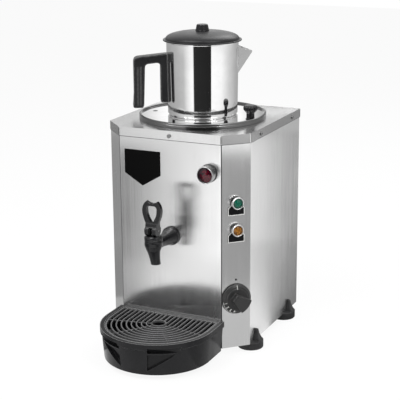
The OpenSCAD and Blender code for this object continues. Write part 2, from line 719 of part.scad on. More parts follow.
module amber_lamp_body() corner_lamp_body(amber_z);
module green_lamp_bezel() corner_lamp_bezel(green_z);
module amber_lamp_bezel() corner_lamp_bezel(amber_z);
module green_lamp_lens() corner_lamp_lens(green_z, "limegreen");
module amber_lamp_lens() corner_lamp_lens(amber_z, "orange");
module lamp_nuts() color("gray") {
    on_front(red_x, red_z) translate([0, 0, -sheet - 4]) nut(red_barrel_r + 4, red_barrel_r + screw_gap, 4);
    for (z = [green_z, amber_z]) on_corner(z) translate([0, 0, -sheet - 4])
        nut(barrel_r + 3.5, barrel_r + screw_gap, 4);
}
module legend_plate(z) color(plastic) on_corner(z) difference() {
    w = legend_w / 2;
    tab = barrel_r + 1.5;
    side = legend_side - legend_drop;
    linear_extrude(plate_t) polygon([[-w, -legend_drop], [w, -legend_drop], [w, side], [tab, side + 7],
        [tab, legend_rise], [-tab, legend_rise], [-tab, side + 7], [-w, side]]);
    translate([0, 0, -eps]) cylinder(r = barrel_r + screw_gap, h = plate_t + 2 * eps);
}
module green_legend_plate() legend_plate(green_z);
module amber_legend_plate() legend_plate(amber_z);
module badge_plate() color(plastic) on_front(badge_x, badge_z) linear_extrude(plate_t)
    polygon([[-badge_w / 2, 0], [-badge_w / 2, -badge_side], [0, -badge_h], [badge_w / 2, -badge_side],
        [badge_w / 2, 0]]);

// ---------- tap ----------
module at_tap(z = 0) translate([tap_x, tap_y, z]) children();
tap_seat = 1.5;
bell = 44;
shank_in = 9.5;
waist_r = chamber_r + 2.2;
// Radius of the spout, from its end (0) up to the chamber (1)
spout_steps = 6;
function spout_wide(t) = spout_r + (waist_r - 0.3 - spout_r) * pow(t, 1.8);
module tap_body() color(plastic) difference() {
    union() {
        on_front(tap_x, shank_z) {
            translate([0, 0, socket_in - half_d - shank_in])
                cylinder(r = tap_shank_r, h = half_d - socket_in + shank_in + 3);
            translate([0, 0, tap_seat]) cylinder(r = tap_flange_r, h = 4);
            translate([0, 0, tap_seat + 4]) rotate_extrude() polygon(concat([[0, 0]],
                [for (i = [0 : 8]) [shank_end_r + 6.5 * pow(1 - i / 8, 1.6), bell * i / 8]], [[0, bell]]));
            translate([0, 0, tap_seat + bell]) cylinder(r = shank_end_r, h = tap_reach - bell - tap_seat);
        }
        at_tap() rotate_extrude() polygon([[0, chamber_z - 2], [waist_r, chamber_z - 2],
            [waist_r + 1, chamber_z + 1], [housing_r, shank_z + 1], [housing_r + 0.7, shank_z + 2.5],
            [housing_r + 0.7, bonnet_z - 2.5], [housing_r - 0.3, bonnet_z - 0.3], [0, bonnet_z - 0.3]]);
        at_tap(chamber_z) cylinder(r = neck_r, h = neck_top - chamber_z);
        at_tap() skin([for (i = [0 : spout_steps], k = [0 : 31]) let (t = i / spout_steps, a = 360 * k / 32)
            [spout_wide(t) * cos(a), spout_back * (1 - t) + spout_wide(t) * sin(a),
                shank_z - spout_drop + (chamber_z - 1 - shank_z + spout_drop) * t]], 32);
    }
    at_tap(chamber_z) cylinder(r = chamber_r, h = 60);
    on_front(tap_x, shank_z) translate([0, 0, socket_in - half_d - 20])
        cylinder(r = bore_r, h = tap_reach + half_d - socket_in + 20);
    at_tap(chamber_z + 1) translate([0, 2, 0]) rotate([atan((spout_back - 2) / (spout_drop - 5)), 0, 0])
        translate([0, 0, -60]) cylinder(r = bore_r, h = 60);
}
module tap_bonnet() color(plastic) at_tap() difference() {
    top = shank_z + bonnet_top;
    rotate_extrude() polygon([[stem_r + shaft_gap, spring_high], [neck_r + screw_gap, spring_high],
        [neck_r + screw_gap, bonnet_z], [bonnet_r - 1.2, bonnet_z], [bonnet_r, bonnet_z + 1.5],
        [bonnet_r, top - 4.5], [bonnet_r - 1, top - 3], [bonnet_r - 2.5, top],
        [stem_r + shaft_gap, top]]);
    translate([-4, -bonnet_r - eps, bonnet_z + 1]) cube([8, 3, 4]);
}
module tap_stem() color("gray") at_tap() difference() {
    union() {
        translate([0, 0, chamber_z + 3]) cylinder(r = stem_r, h = pin_z + stem_head - chamber_z - 3);
        translate([0, 0, collar_z]) cylinder(r = 7, h = 1.5);
    }
    translate([-10, 0, pin_z]) rotate([0, 90, 0]) cylinder(r = pin_r + shaft_gap, h = 20);
}
module tap_seat_cup() color("whitesmoke") at_tap(chamber_z + 0.3) difference() {
    cylinder(r = chamber_r - 2.5, h = collar_z - chamber_z - 0.4);
    translate([0, 0, 2.6]) cylinder(r = stem_r + screw_gap, h = 20);
}
spring_low = collar_z + 1.5;
spring_turns = 5;
module tap_spring() color("silver") at_tap() {
    wire = 0.7;
    steps = 16 * spring_turns;
    tube([for (i = [0 : steps]) let (a = 360 * i / 16)
        [5.6 * cos(a), 5.6 * sin(a), spring_low + wire + 0.1
            + (spring_high - spring_low - 2 * wire - 0.2) * i / steps]], wire);
}
// Cheeks of the lever's fork, rounded below so that they roll on the bonnet as the lever tips
module fork_side() {
    cam_r = pin_up - 0.3;
    translate([-lever_cam, pin_z]) circle(r = cam_r);
    translate([0, pin_z]) circle(r = cam_r - 0.3);
    translate([-lever_cam - cam_r, pin_z]) square([cam_r + lever_cam + 6, 5]);
    translate([-10, pin_z + 4]) square([16, 11]);
}
loop_z = pin_z + 12;
// Half the width of the loop and of the hole in it, from the bottom (0) to the top (1)
function loop_edge(u) = u < 0.6 ? fork_half + (loop_half - fork_half) * sin(150 * u)
    : loop_half * sqrt(cos(75 * (u - 0.6) / 0.4));
function hole_edge(u) = 0.1 + (loop_half - loop_limb) * (u < 0.75 ? pow(sin(120 * u), 0.8)
    : sqrt(1 - pow((u - 0.75) / 0.29, 4)));
function both_sides(half) = concat(half, [for (i = [len(half) - 1 : -1 : 0]) [-half[i][0], half[i][1]]]);
module tap_lever() color(plastic) at_tap() difference() {
    union() {
        rotate([90, 0, 90]) translate([0, 0, -fork_half]) linear_extrude(2 * fork_half) fork_side();
        translate([0, loop_t / 2 - 2, loop_z]) rotate([90, 0, 0]) linear_extrude(loop_t) difference() {
            polygon(both_sides([for (i = [0 : 20]) [loop_edge(i / 20), loop_h * i / 20]]));
            polygon(both_sides([for (i = [0 : 14]) [hole_edge(i / 14), 3 + (loop_h - 13) * i / 14]]));
            translate([0, loop_h + 11]) circle(r = 16);
        }
    }
    translate([-stem_r - 0.5, -20, pin_z - 20]) cube([2 * stem_r + 1, 40, 20 + stem_head + 4]);
    translate([-fork_half - eps, 0, pin_z]) rotate([0, 90, 0])
        cylinder(r = pin_r + screw_gap / 2, h = 2 * (fork_half + eps));
}
module tap_lever_pin() color("gray") at_tap(pin_z) translate([-fork_half, 0, 0]) rotate([0, 90, 0])
    cylinder(r = pin_r, h = 2 * fork_half);
module tap_seals() color(plastic) {
    on_front(tap_x, shank_z) ring(tap_flange_r - 1.5, tap_shank_r + screw_gap, tap_seat);
    translate([tap_x, -socket_in + 2, shank_z]) rotate([90, 0, 0])
        ring(socket_r - 1, tap_shank_r + screw_gap, 2);
}
module tap_shank_nut() color("goldenrod") translate([tap_x, -socket_in + 8, shank_z]) rotate([90, 0, 0])
    nut(tap_shank_r + 5, tap_shank_r + screw_gap, 6);

// ---------- lid ----------
module urn_lid() color(steel) translate([0, 0, casing_h]) difference() {
    low = 0.3;
    rim_r = (lid_rim - lid_floor + lid_t) / 2;
    mid = lid_rim - rim_r;
    rotate_extrude() polygon(concat([[0, lid_floor - lid_t], [lid_r - lid_t, lid_floor - lid_t],
        [lid_r - lid_t, low], [lid_r, low]], arc(lid_r - rim_r, mid, rim_r, 0, 180, 12),
        [[lid_r - 2 * rim_r, lid_floor], [0, lid_floor]]));
    translate([-vent_x, -lid_knob_y, 0]) cylinder(r = vent_r, h = 20);
    translate([lid_knob_x, -lid_knob_y, 0]) cylinder(r = 2.5 + screw_gap, h = 20);
}
module lid_knob() color(plastic) translate([lid_knob_x, -lid_knob_y, casing_h + lid_floor]) difference() {
    union() {
        cylinder(r = lid_stem_r, h = lid_knob_h - 8);
        translate([0, 0, lid_knob_h - 14]) cylinder(r1 = lid_stem_r, r2 = lid_knob_r, h = 5);
        translate([0, 0, lid_knob_h - 9]) cylinder(r = lid_knob_r, h = 5);
        translate([0, 0, lid_knob_h - 4]) cylinder(r1 = lid_knob_r, r2 = lid_knob_r - 5, h = 4);
    }
    translate([0, 0, -eps]) cylinder(r = 2.5 + screw_gap, h = 13 + eps);
    for (i = [0 : 11]) rotate([0, 0, 30 * i]) translate([lid_knob_r + 1.4, 0, lid_knob_h - 15])
        cylinder(r = 2.4, h = 20, $fn = 24);
}
module lid_knob_screw() color("gray")
    translate([lid_knob_x, -lid_knob_y, casing_h + lid_floor - lid_t]) mirror([0, 0, 1]) screw(13, 4, 2, 2.5);

// ---------- teapot ----------
// Radius of the teapot's outside at a height above its foot
function pot_at(h) = pot_r + (pot_mouth_r - pot_r) * (h - pot_foot) / (pot_h - pot_foot);
module pot_outside() translate([0, 0, pot_z]) rotate_extrude() polygon([[0, pot_foot],
    [pot_r, pot_foot], [pot_mouth_r, pot_h], [0, pot_h]]);
module teapot_body() color(steel) difference() {
    union() {
        pot_outside();
        translate([0, 0, pot_z]) cylinder(r = pot_r - 2.5, h = pot_foot + eps);
    }
    translate([0, 0, pot_z]) rotate_extrude() polygon([[0, pot_foot + pot_t],
        [pot_r - pot_t, pot_foot + pot_t], [pot_mouth_r - pot_t, pot_h + eps], [0, pot_h + eps]]);
    translate([0, 0, pot_z - eps]) cylinder(r = pot_r - 5, h = pot_foot + eps);
    for (i = [-1 : 1], k = [0 : 3]) on_teapot(spout_turn + 6 * i)
        translate([pot_r - 10, 0, pot_top - 12 - 9 * k - 4 * abs(i)])
            rotate([0, 90, 0]) cylinder(r = strainer_r, h = 20, $fn = 24);
    rivet_places() cylinder(r = rivet_r + screw_gap, h = 20);
}
// Open spout folded from one sheet, with its keel down the middle
module fold(inset) {
    root = pot_r - 6;
    rise = pot_top - 9 + 4 * inset;
    tip = spout_tip - 1.6 * inset;
    hull() polyhedron(points = [[root, inset - spout_w / 2, rise], [root, spout_w / 2 - inset, rise],
        [root, 0, pot_top - 15 - spout_root + 3 * inset], [tip, 0, rise - 13],
        [tip, 0, pot_top - 25 + inset]],
        faces = [[0, 1, 2], [0, 3, 1], [0, 2, 4], [0, 4, 3], [1, 4, 2], [1, 3, 4]]);
}
module teapot_spout() color(steel) difference() {
    on_teapot(spout_turn) difference() {
        fold(0);
        fold(1.2);
    }
    pot_outside();
}
module rivet_places() for (z = [handle_top - 14, handle_low + 22]) on_teapot(spout_turn + 180)
    translate([pot_at(z) - pot_t - 3, 0, pot_z + z]) rotate([0, 90, 0]) children();
handle_top = pot_h - 23;
handle_low = 15;
module handle_outline() {
    in_r = 8;
    out_r = 11;
    wall = pot_mouth_r - 5;
    gap_in = pot_mouth_r + inner_leg;
    gap_out = handle_reach - outer_leg;
    drop = 7;
    polygon(concat([[wall, handle_low + 10], [gap_in, handle_low + 10]],
        arc(gap_in + in_r, handle_top - handle_bar - in_r, in_r, 180, 90),
        arc(gap_out - in_r, handle_top - handle_bar - in_r - drop / 2, in_r, 90, 0),
        [[gap_out + 3, handle_low + 6], [gap_out + 5, handle_low]],
        [[handle_reach + 2, handle_low], [handle_reach, handle_low + 30]],
        arc(handle_reach - out_r, handle_top - drop - out_r, out_r, 0, 80),
        [[wall, handle_top]]));
}
module teapot_handle() color(plastic) difference() {
    on_teapot(spout_turn + 180) translate([0, 0, pot_z]) rotate([90, 0, 0])
        translate([0, 0, -handle_t / 2]) linear_extrude(handle_t) handle_outline();
    pot_outside();
    rivet_places() cylinder(r = rivet_r + screw_gap, h = 15);
}
module handle_rivets() color("gray") rivet_places() {
    cylinder(r = rivet_r + 2, h = 2.2);
    cylinder(r = rivet_r, h = 14);
}
module teapot_lid() color(steel) translate([0, 0, pot_top]) difference() {
    flat = 0.3;
    rim = 1.3;
    t = 1;
    neck = pot_mouth_r + 1.5;
    plug_r = pot_mouth_r - pot_t - 0.5;
    rotate_extrude() polygon(concat(
        [[0, pot_lid_h - t], [neck / 2, pot_lid_h - t - 2.6], [neck - 5, pot_lid_h - 9 - t],
            [neck - t, flat + t + 2], [neck - t, flat + t], [plug_r - t, flat + t], [plug_r - t, -9],
            [plug_r, -9], [plug_r, flat]],
        arc(pot_lid_r - rim, flat + rim, rim, -90, 90, 8),
        [[neck, flat + 2 * rim], [neck - 4, pot_lid_h - 8], [neck / 2, pot_lid_h - 2], [0, pot_lid_h]]));
    cylinder(r = 2 + screw_gap, h = 60);
}
module teapot_lid_knob() color(plastic) translate([0, 0, pot_top + pot_lid_h]) {
    cylinder(r1 = pot_knob_r, r2 = pot_knob_r - 2.4, h = pot_knob_h - 1);
    translate([0, 0, pot_knob_h - 1]) cylinder(r1 = pot_knob_r - 2.4, r2 = pot_knob_r - 3.4, h = 1);
    translate([0, 0, -6]) cylinder(r = 2, h = 7);
}

// ---------- drip tray ----------
// Solid with a half-round front and straight sides, from half its cross-section
module horseshoe(y_end) {
    translate([0, tray_y, 0]) rotate([0, 0, 180]) rotate_extrude(angle = 180) children();
    for (side = [0, 1]) mirror([side, 0, 0]) translate([0, y_end, 0]) rotate([90, 0, 0])
        linear_extrude(y_end - tray_y) children();
}
hook_top = tray_rim - 19.5;
hook_t = 4.2;
hook_in = 4;
hook_out = 10;
function hook_z(depth) = hook_top - (depth - half_d);
wall_r = tray_r - collar_step;
collar_low = tray_rim - collar_h;
module tray_outside() polygon([[0, tray_low], [wall_r - wall_lean, tray_low], [wall_r, collar_low],
    [tray_r, collar_low + collar_step], [tray_r, tray_rim], [0, tray_rim]]);
module tray_inside() polygon([[0, tray_low + tray_t], [wall_r - wall_lean - tray_t, tray_low + tray_t],
    [wall_r - tray_t, collar_low], [ledge_r, grid_bed - 2.7], [ledge_r, grid_bed],
    [tray_r - band_w, grid_bed], [tray_r - band_w, tray_rim + eps], [0, tray_rim + eps]]);
pocket_from = 15;
pocket_to = 50;
pocket_depth = 15;
pocket_shallow = 2;
pocket_low = 3;
pocket_top = grid_bed - 2.2;
shelf_z = pocket_top - 13.5;
shelf_t = 2;
// Block behind a pocket: it fills the wall's inside and stays 0.5 within its outside
module pocket_block(r_in) {
    out = wall_r - 0.5;
    translate([0, tray_y, 0]) rotate([0, 0, pocket_from - 92])
        rotate_extrude(angle = pocket_to - pocket_from + 4)
            polygon([[r_in, tray_low], [out - wall_lean, tray_low], [out, collar_low], [out, grid_bed],
                [r_in, grid_bed]]);
}
// Slot and triangle for the fingers, deep towards the tray's front and shallow towards its back
module pocket_cut() {
    half = (wall_r - 3) * sin((pocket_to - pocket_from) / 2);
    slope = atan((pocket_depth - pocket_shallow) / (2 * half));
    middle = (pocket_from + pocket_to) / 2;
    translate([0, tray_y, 0]) rotate([0, 0, middle]) rotate([90, 0, 0]) intersection() {
        translate([0, 0, wall_r - pocket_depth]) linear_extrude(2 * pocket_depth) {
            polygon([[-half, shelf_z + shelf_t], [0.8 * half, shelf_z + shelf_t], [half, pocket_top],
                [-half, pocket_top]]);
            polygon([[-half, shelf_z], [0.75 * half, shelf_z], [-half, pocket_low]]);
        }
        translate([-half, -pocket_depth, wall_r - pocket_depth]) rotate([0, -slope, 0])
            translate([-half, 0, 0]) cube([4 * half, 5 * pocket_depth, 4 * pocket_depth]);
    }
}
module drip_tray() color(plastic) {
    y_end = -half_d - tray_gap;
    difference() {
        union() {
            difference() {
                horseshoe(y_end) tray_outside();
                horseshoe(y_end - back_band) tray_inside();
            }
            for (side = [0, 1]) mirror([side, 0, 0]) pocket_block(wall_r - pocket_depth - 4);
        }
        for (side = [0, 1]) mirror([side, 0, 0]) pocket_cut();
    }
    for (side = [-1, 1]) translate([side * hook_x + hook_w / 2, 0, 0]) rotate([90, 0, -90])
        linear_extrude(hook_w)
            polygon([for (p = [[-hook_in, 1], [hook_out, 1], [hook_out, -1], [-hook_in, -1]])
                [half_d - p[0], hook_z(half_d + p[0]) + p[1] * hook_t / 2]]);
}
module drip_grid() color(plastic) translate([0, 0, grid_z - grid_h]) {
    frame_w = 4;
    bar_w = 1.6;
    straight = grid_y - tray_y;
    inner = grid_r - frame_w;
    ribs = [for (r = [hub_r : rib_pitch : inner - 1]) r];
    for (r = concat(ribs, [grid_r])) {
        wide = r == grid_r ? frame_w : rib_w;
        translate([0, tray_y, 0]) difference() {
            ring(r, r - wide, grid_h);
            translate([-2 * tray_r, 0, -eps]) cube([4 * tray_r, 2 * tray_r, grid_h + 2 * eps]);
        }
        for (side = [-1, 1]) translate([side * (r - wide / 2) - wide / 2, tray_y, 0])
            cube([wide, straight, grid_h]);
    }
    translate([0, tray_y, 0]) ring(hub_r, hub_r - rib_w, grid_h);
    for (side = [-1, 1]) translate([side * hub_r / 3 - rib_w / 2, tray_y + hub_r - 2, 0])
        cube([rib_w, straight - hub_r + 2, grid_h]);
    for (turn = [-80, -37, 37, 80]) translate([0, tray_y, 0]) rotate([0, 0, turn - 90])
        translate([hub_r - 1, -bar_w / 2, 0]) cube([inner - hub_r + 2, bar_w, grid_h - 2]);
    translate([-grid_r, grid_y - frame_w, 0]) cube([2 * grid_r, frame_w, grid_h]);
}

place() front_panel();
place() left_side_panel();
place() right_side_panel();
place() back_panel();
place() base_plate();
place() top_cover();
place() cover_screws();
place() back_panel_screws();
place() rubber_feet();
place() foot_screws();
place() water_tank();
place() tank_seal_ring();
place() tank_bracket();
place() heating_element();
place() element_nuts();
place() element_washers();
place() safety_cutout();
place() thermostat_body();
place() thermostat_shaft();
place() thermostat_knob();
place() thermostat_screws();
place() thermostat_bulb();
place() terminal_block();
place() wiring();
place() cable_gland();
place() gland_nut();
place() red_lamp_gasket();
place() red_lamp_body();
place() red_lamp_bezel();
place() red_lamp_lens();
place() green_lamp_body();
place() green_lamp_bezel();
place() green_lamp_lens();
place() amber_lamp_body();
place() amber_lamp_bezel();
place() amber_lamp_lens();
place() lamp_nuts();
place() green_legend_plate();
place() amber_legend_plate();
place() badge_plate();
place() tap_body();
place() tap_bonnet();
place() tap_stem();
place() tap_seat_cup();
place() tap_spring();
place() tap_lever();
place() tap_lever_pin();
place() tap_seals();
place() tap_shank_nut();
place() urn_lid();
place() lid_knob();
place() lid_knob_screw();
place() teapot_body();
place() teapot_spout();
place() teapot_handle();
place() handle_rivets();
place() teapot_lid();
place() teapot_lid_knob();
place() drip_tray();
place() drip_grid();
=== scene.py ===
"""Hot water urn with a teapot on its lid: the finishes and the detailed pieces.
The scene is in metres, in the part's own frame. The shape tools work in millimetres."""

import json
from math import cos, hypot, pi, radians, sin, tan

import bmesh
import bpy
from mathutils import Matrix, Vector
from mathutils.bvhtree import BVHTree


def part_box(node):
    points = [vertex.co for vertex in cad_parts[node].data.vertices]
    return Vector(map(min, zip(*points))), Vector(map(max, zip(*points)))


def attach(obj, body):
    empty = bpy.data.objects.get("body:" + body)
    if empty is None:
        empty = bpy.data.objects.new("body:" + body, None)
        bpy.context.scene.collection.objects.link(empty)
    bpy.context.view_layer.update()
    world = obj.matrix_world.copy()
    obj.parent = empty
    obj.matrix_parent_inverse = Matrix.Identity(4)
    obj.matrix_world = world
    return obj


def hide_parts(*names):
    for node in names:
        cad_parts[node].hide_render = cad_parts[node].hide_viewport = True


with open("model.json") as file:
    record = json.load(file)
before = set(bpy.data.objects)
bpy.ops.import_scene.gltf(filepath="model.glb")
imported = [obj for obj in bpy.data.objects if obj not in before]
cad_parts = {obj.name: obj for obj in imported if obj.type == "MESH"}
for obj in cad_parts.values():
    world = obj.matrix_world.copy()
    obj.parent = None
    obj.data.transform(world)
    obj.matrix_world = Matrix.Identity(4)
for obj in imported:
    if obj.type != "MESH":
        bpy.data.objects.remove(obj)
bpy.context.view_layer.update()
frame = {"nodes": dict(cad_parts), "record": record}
nodes = frame["nodes"]
bodies = frame["record"]["behaviour"]["bodies"]
body_of_node = {name: body for body, names in bodies.items() for name in names}
slot_of_node = {part["node"]: part["material_slot"] for part in frame["record"]["subparts"]}

# ---------- places in metres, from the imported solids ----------
FRONT_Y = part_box("front_panel")[0].y
BACK_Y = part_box("back_panel")[1].y
CASING_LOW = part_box("front_panel")[0].z
COVER_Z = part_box("top_cover")[1].z
MIDDLE_Y = (FRONT_Y + BACK_Y) / 2

# ---------- main sizes of the casing, in millimetres ----------
MM = 0.001
HALF_WIDE = 150.0
HALF_DEEP = 151.0
CASING_HIGH = 425.0
CORNER_CUT = 42.0
SKIRT_BOTTOM = 407.0


def put(name, data):
    """New object in the scene."""
    made = bpy.data.objects.new(name, data)
    bpy.context.scene.collection.objects.link(made)
    return made


# ---------- camera ----------
FOCAL_LENGTH = 103.83
CAMERA_ROLL = -0.39


def point_camera():
    """The camera stands in front of the urn, a little to its right and above it."""
    lens = bpy.data.cameras.new("camera")
    lens.sensor_width = 36
    lens.lens = FOCAL_LENGTH
    lens.clip_end = 20
    camera = put("camera", lens)
    stand = Vector((0.9599, MIDDLE_Y - 2.0592, CASING_LOW + 0.8877))
    target = Vector((-0.00751, MIDDLE_Y, CASING_LOW + 0.24965))
    turn = (stand - target).to_track_quat("Z", "Y").to_matrix().to_4x4()
    camera.matrix_world = Matrix.Translation(stand) @ turn @ turned(CAMERA_ROLL, "Z")
    bpy.context.scene.camera = camera


# ---------- material tools ----------
def add(tree, kind, inputs=None, **fields):
    """A shader node with its fields, and its inputs by name or number.
    An input that is given a socket is linked to it. Anything else becomes the input's value."""
    made = tree.nodes.new(kind)
    for field, value in fields.items():
        setattr(made, field, value)
    for socket, value in (inputs or {}).items():
        if isinstance(value, bpy.types.NodeSocket):
            tree.links.new(value, made.inputs[socket])
        else:
            made.inputs[socket].default_value = value
    return made


def maths(tree, operation, *values, clamp=False):
    """Result of one math node."""
    made = add(tree, "ShaderNodeMath", dict(enumerate(values)), operation=operation, use_clamp=clamp)
    return made.outputs[0]


def spread(tree, value, low, high, to_low, to_high):
    """Value moved from one range to another, and held inside it."""
    ends = {"Value": value, "From Min": low, "From Max": high, "To Min": to_low, "To Max": to_high}
    return add(tree, "ShaderNodeMapRange", ends).outputs["Result"]


def tint(tree, amount, first, second):
    """Colour between two others."""
    return add(tree, "ShaderNodeMix", {0: amount, 6: first, 7: second}, data_type="RGBA").outputs[2]


def start_group(name, inputs, outputs):
    """An empty node group with its sockets. Gives the group, its input node and its output node."""
    tree = bpy.data.node_groups.new(name, "ShaderNodeTree")
    kinds = {"value": "NodeSocketFloat", "vector": "NodeSocketVector", "colour": "NodeSocketColor"}
    for label, kind, start in inputs:
        tree.interface.new_socket(name=label, in_out="INPUT", socket_type=kinds[kind]).default_value = start
    for label, kind in outputs:
        tree.interface.new_socket(name=label, in_out="OUTPUT", socket_type=kinds[kind])
    return tree, tree.nodes.new("NodeGroupInput").outputs, tree.nodes.new("NodeGroupOutput").inputs


def place(tree):
    """Coordinates fixed to the piece, in metres."""
    return add(tree, "ShaderNodeTexCoord").outputs["Object"]


def pattern(tree, where, scale, detail, rough=0.5):
    """Value of a noise pattern. The scale may be a socket."""
    made = add(tree, "ShaderNodeTexNoise",
               {"Vector": where, "Scale": scale, "Detail": detail, "Roughness": rough})
    return made.outputs["Fac"]


def noise(tree, where, scale, detail=2.0, rough=0.5, stretch=(1, 1, 1)):
    """Value of a noise pattern that may be stretched along an axis."""
    at = add(tree, "ShaderNodeMapping", {"Vector": where, "Scale": stretch}).outputs["Vector"]
    return pattern(tree, at, scale, detail, rough)


def make_edge_wear():
    """Group that finds the edges of a piece, broken up by a noise. The lighter edges it gives are wear and
    painted highlights.
    """
    tree, given, result = start_group("worn_and_highlit_edges", [("Width", "value", 0.0008), ("Amount", "value", 0.5)],
                                      [("Mask", "value")])
    round_normal = add(tree, "ShaderNodeBevel", {"Radius": given["Width"]}, samples=4).outputs["Normal"]
    flat_normal = add(tree, "ShaderNodeNewGeometry").outputs["Normal"]
    match = add(tree, "ShaderNodeVectorMath", {0: round_normal, 1: flat_normal}, operation="DOT_PRODUCT")
    edge = spread(tree, match.outputs["Value"], 0.995, 0.86, 0.0, 1.0)
    broken = spread(tree, noise(tree, place(tree), 260, 3.0, 0.6), 0.38, 0.62, 0.2, 1.0)
    # Edge mask for wear, and for painted highlights along the edges
    worn_and_lit = maths(tree, "MULTIPLY", edge, broken)
    tree.links.new(maths(tree, "MULTIPLY", worn_and_lit, given["Amount"], clamp=True), result["Mask"])
    return tree


def make_brushed_grain():
    """Group for brushed sheet: long fine lines, with faint clouds from handling."""
    tree, given, result = start_group(
        "brushed_grain", [("Stretch", "vector", (1, 1, 0.01)), ("Fineness", "value", 900.0)],
        [("Lines", "value"), ("Clouds", "value"), ("Height", "value")])
    at = add(tree, "ShaderNodeVectorMath", {0: place(tree), 1: given["Stretch"]},
             operation="MULTIPLY").outputs[0]
    fine = pattern(tree, at, given["Fineness"], 3.0, 0.65)
    coarse = pattern(tree, at, maths(tree, "MULTIPLY", given["Fineness"], 0.23), 2.0)
    lines = maths(tree, "ADD", maths(tree, "MULTIPLY", fine, 0.65), maths(tree, "MULTIPLY", coarse, 0.35))
    tree.links.new(lines, result["Lines"])
    tree.links.new(noise(tree, place(tree), 9, 3.0, 0.55), result["Clouds"])
    tree.links.new(lines, result["Height"])
    return tree


def make_polish_marks():
    """Group for polished metal: faint wiping marks and a little waviness."""
    tree, given, result = start_group("polish_marks", [("Size", "value", 30.0)],
                                      [("Film", "value"), ("Scratches", "value"), ("Height", "value")])
    cloud = pattern(tree, place(tree), given["Size"], 4.0, 0.6)
    scratches = noise(tree, place(tree), 500, 2.0, 0.7, (1, 1, 0.03))
    tree.links.new(spread(tree, cloud, 0.35, 0.75, 0.0, 1.0), result["Film"])
    tree.links.new(spread(tree, scratches, 0.55, 0.8, 0.0, 1.0), result["Scratches"])
    tree.links.new(noise(tree, place(tree), 7, 1.0), result["Height"])
    return tree


def make_moulded_skin():
    """Group for moulded plastic and rubber: a fine pebbled skin with flow marks."""
    tree, given, result = start_group("moulded_skin", [("Fineness", "value", 1400.0)],
                                      [("Pebbles", "value"), ("Flow", "value"), ("Height", "value")])
    cells = add(tree, "ShaderNodeTexVoronoi", {"Vector": place(tree), "Scale": given["Fineness"]},
                feature="SMOOTH_F1").outputs["Distance"]
    flow = noise(tree, place(tree), 22, 3.0, 0.55)
    tree.links.new(cells, result["Pebbles"])
    tree.links.new(flow, result["Flow"])
    tree.links.new(maths(tree, "ADD", cells, maths(tree, "MULTIPLY", flow, 0.4)), result["Height"])
    return tree


def make_dust():
    """Group for dust that settles on faces that look up."""
    tree, given, result = start_group("settled_dust", [("Amount", "value", 0.3)], [("Mask", "value")])
    normal = add(tree, "ShaderNodeNewGeometry").outputs["Normal"]
    up = add(tree, "ShaderNodeSeparateXYZ", {"Vector": normal}).outputs["Z"]
    specks = spread(tree, noise(tree, place(tree), 420, 4.0, 0.7), 0.5, 0.75, 0.0, 1.0)
    settled = maths(tree, "MULTIPLY", spread(tree, up, 0.4, 1.0, 0.0, 1.0), specks)
    tree.links.new(maths(tree, "MULTIPLY", settled, given["Amount"]), result["Mask"])
    return tree


WORN_AND_HIGHLIT_EDGES = make_edge_wear()
BRUSHED_GRAIN = make_brushed_grain()
POLISH_MARKS = make_polish_marks()
MOULDED_SKIN = make_moulded_skin()
SETTLED_DUST = make_dust()


def use_group(tree, group, **inputs):
    """A node group placed in a material, with its inputs. Gives its outputs."""
    made = tree.nodes.new("ShaderNodeGroup")
    made.node_tree = group
    for label, value in inputs.items():
        made.inputs[label].default_value = value
    return made.outputs


def grey(level):
    """Opaque grey."""
    return (level, level, level, 1.0)


def start_material(name, **plain):
    """A material with only its Principled shader, whose plain values are set on its own sockets."""
    material = bpy.data.materials.new(name)
    material.use_nodes = True
    shader = material.node_tree.nodes["Principled BSDF"]
    for label, value in plain.items():
        shader.inputs[label.replace("_", " ")].default_value = value
    return material, material.node_tree, shader


def finish_surface(tree, shader, colour, roughness, height, depth, strength):
    """Links colour, roughness and bump to a material's shader."""
    tree.links.new(colour, shader.inputs["Base Color"])
    tree.links.new(roughness, shader.inputs["Roughness"])
    bump = add(tree, "ShaderNodeBump", {"Height": height, "Strength": strength, "Distance": depth})
    tree.links.new(bump.outputs["Normal"], shader.inputs["Normal"])


def brushed(name, level, rough, stretch, fineness=900.0, depth=0.00002, strength=0.2,
            spread_light=0.0):
    """Brushed stainless steel, with its lines along one direction."""
    material, tree, shader = start_material(name, Metallic=1.0, Anisotropic=spread_light)
    grain = use_group(tree, BRUSHED_GRAIN, Stretch=stretch, Fineness=fineness)
    wear_and_highlight = use_group(tree, WORN_AND_HIGHLIT_EDGES, Width=0.0006, Amount=0.5)["Mask"]
    sheet_colour = tint(tree, grain["Lines"], grey(level * 0.95), grey(level * 1.04))
    handled = tint(tree, spread(tree, grain["Clouds"], 0.3, 0.7, 0.0, 0.2), sheet_colour, grey(level * 0.93))
    # Lighter edges: wear, and painted highlights
    colour = tint(tree, wear_and_highlight, handled, grey(min(1.0, level * 1.25)))
    roughness = maths(tree, "ADD", spread(tree, grain["Lines"], 0.3, 0.7, rough - 0.05, rough + 0.05),
                      spread(tree, grain["Clouds"], 0.3, 0.7, -0.02, 0.03))
    if spread_light:
        tangent = add(tree, "ShaderNodeTangent", direction_type="RADIAL", axis="Z").outputs["Tangent"]
        tree.links.new(tangent, shader.inputs["Tangent"])
    finish_surface(tree, shader, colour, roughness, grain["Height"], depth, strength)
    return material


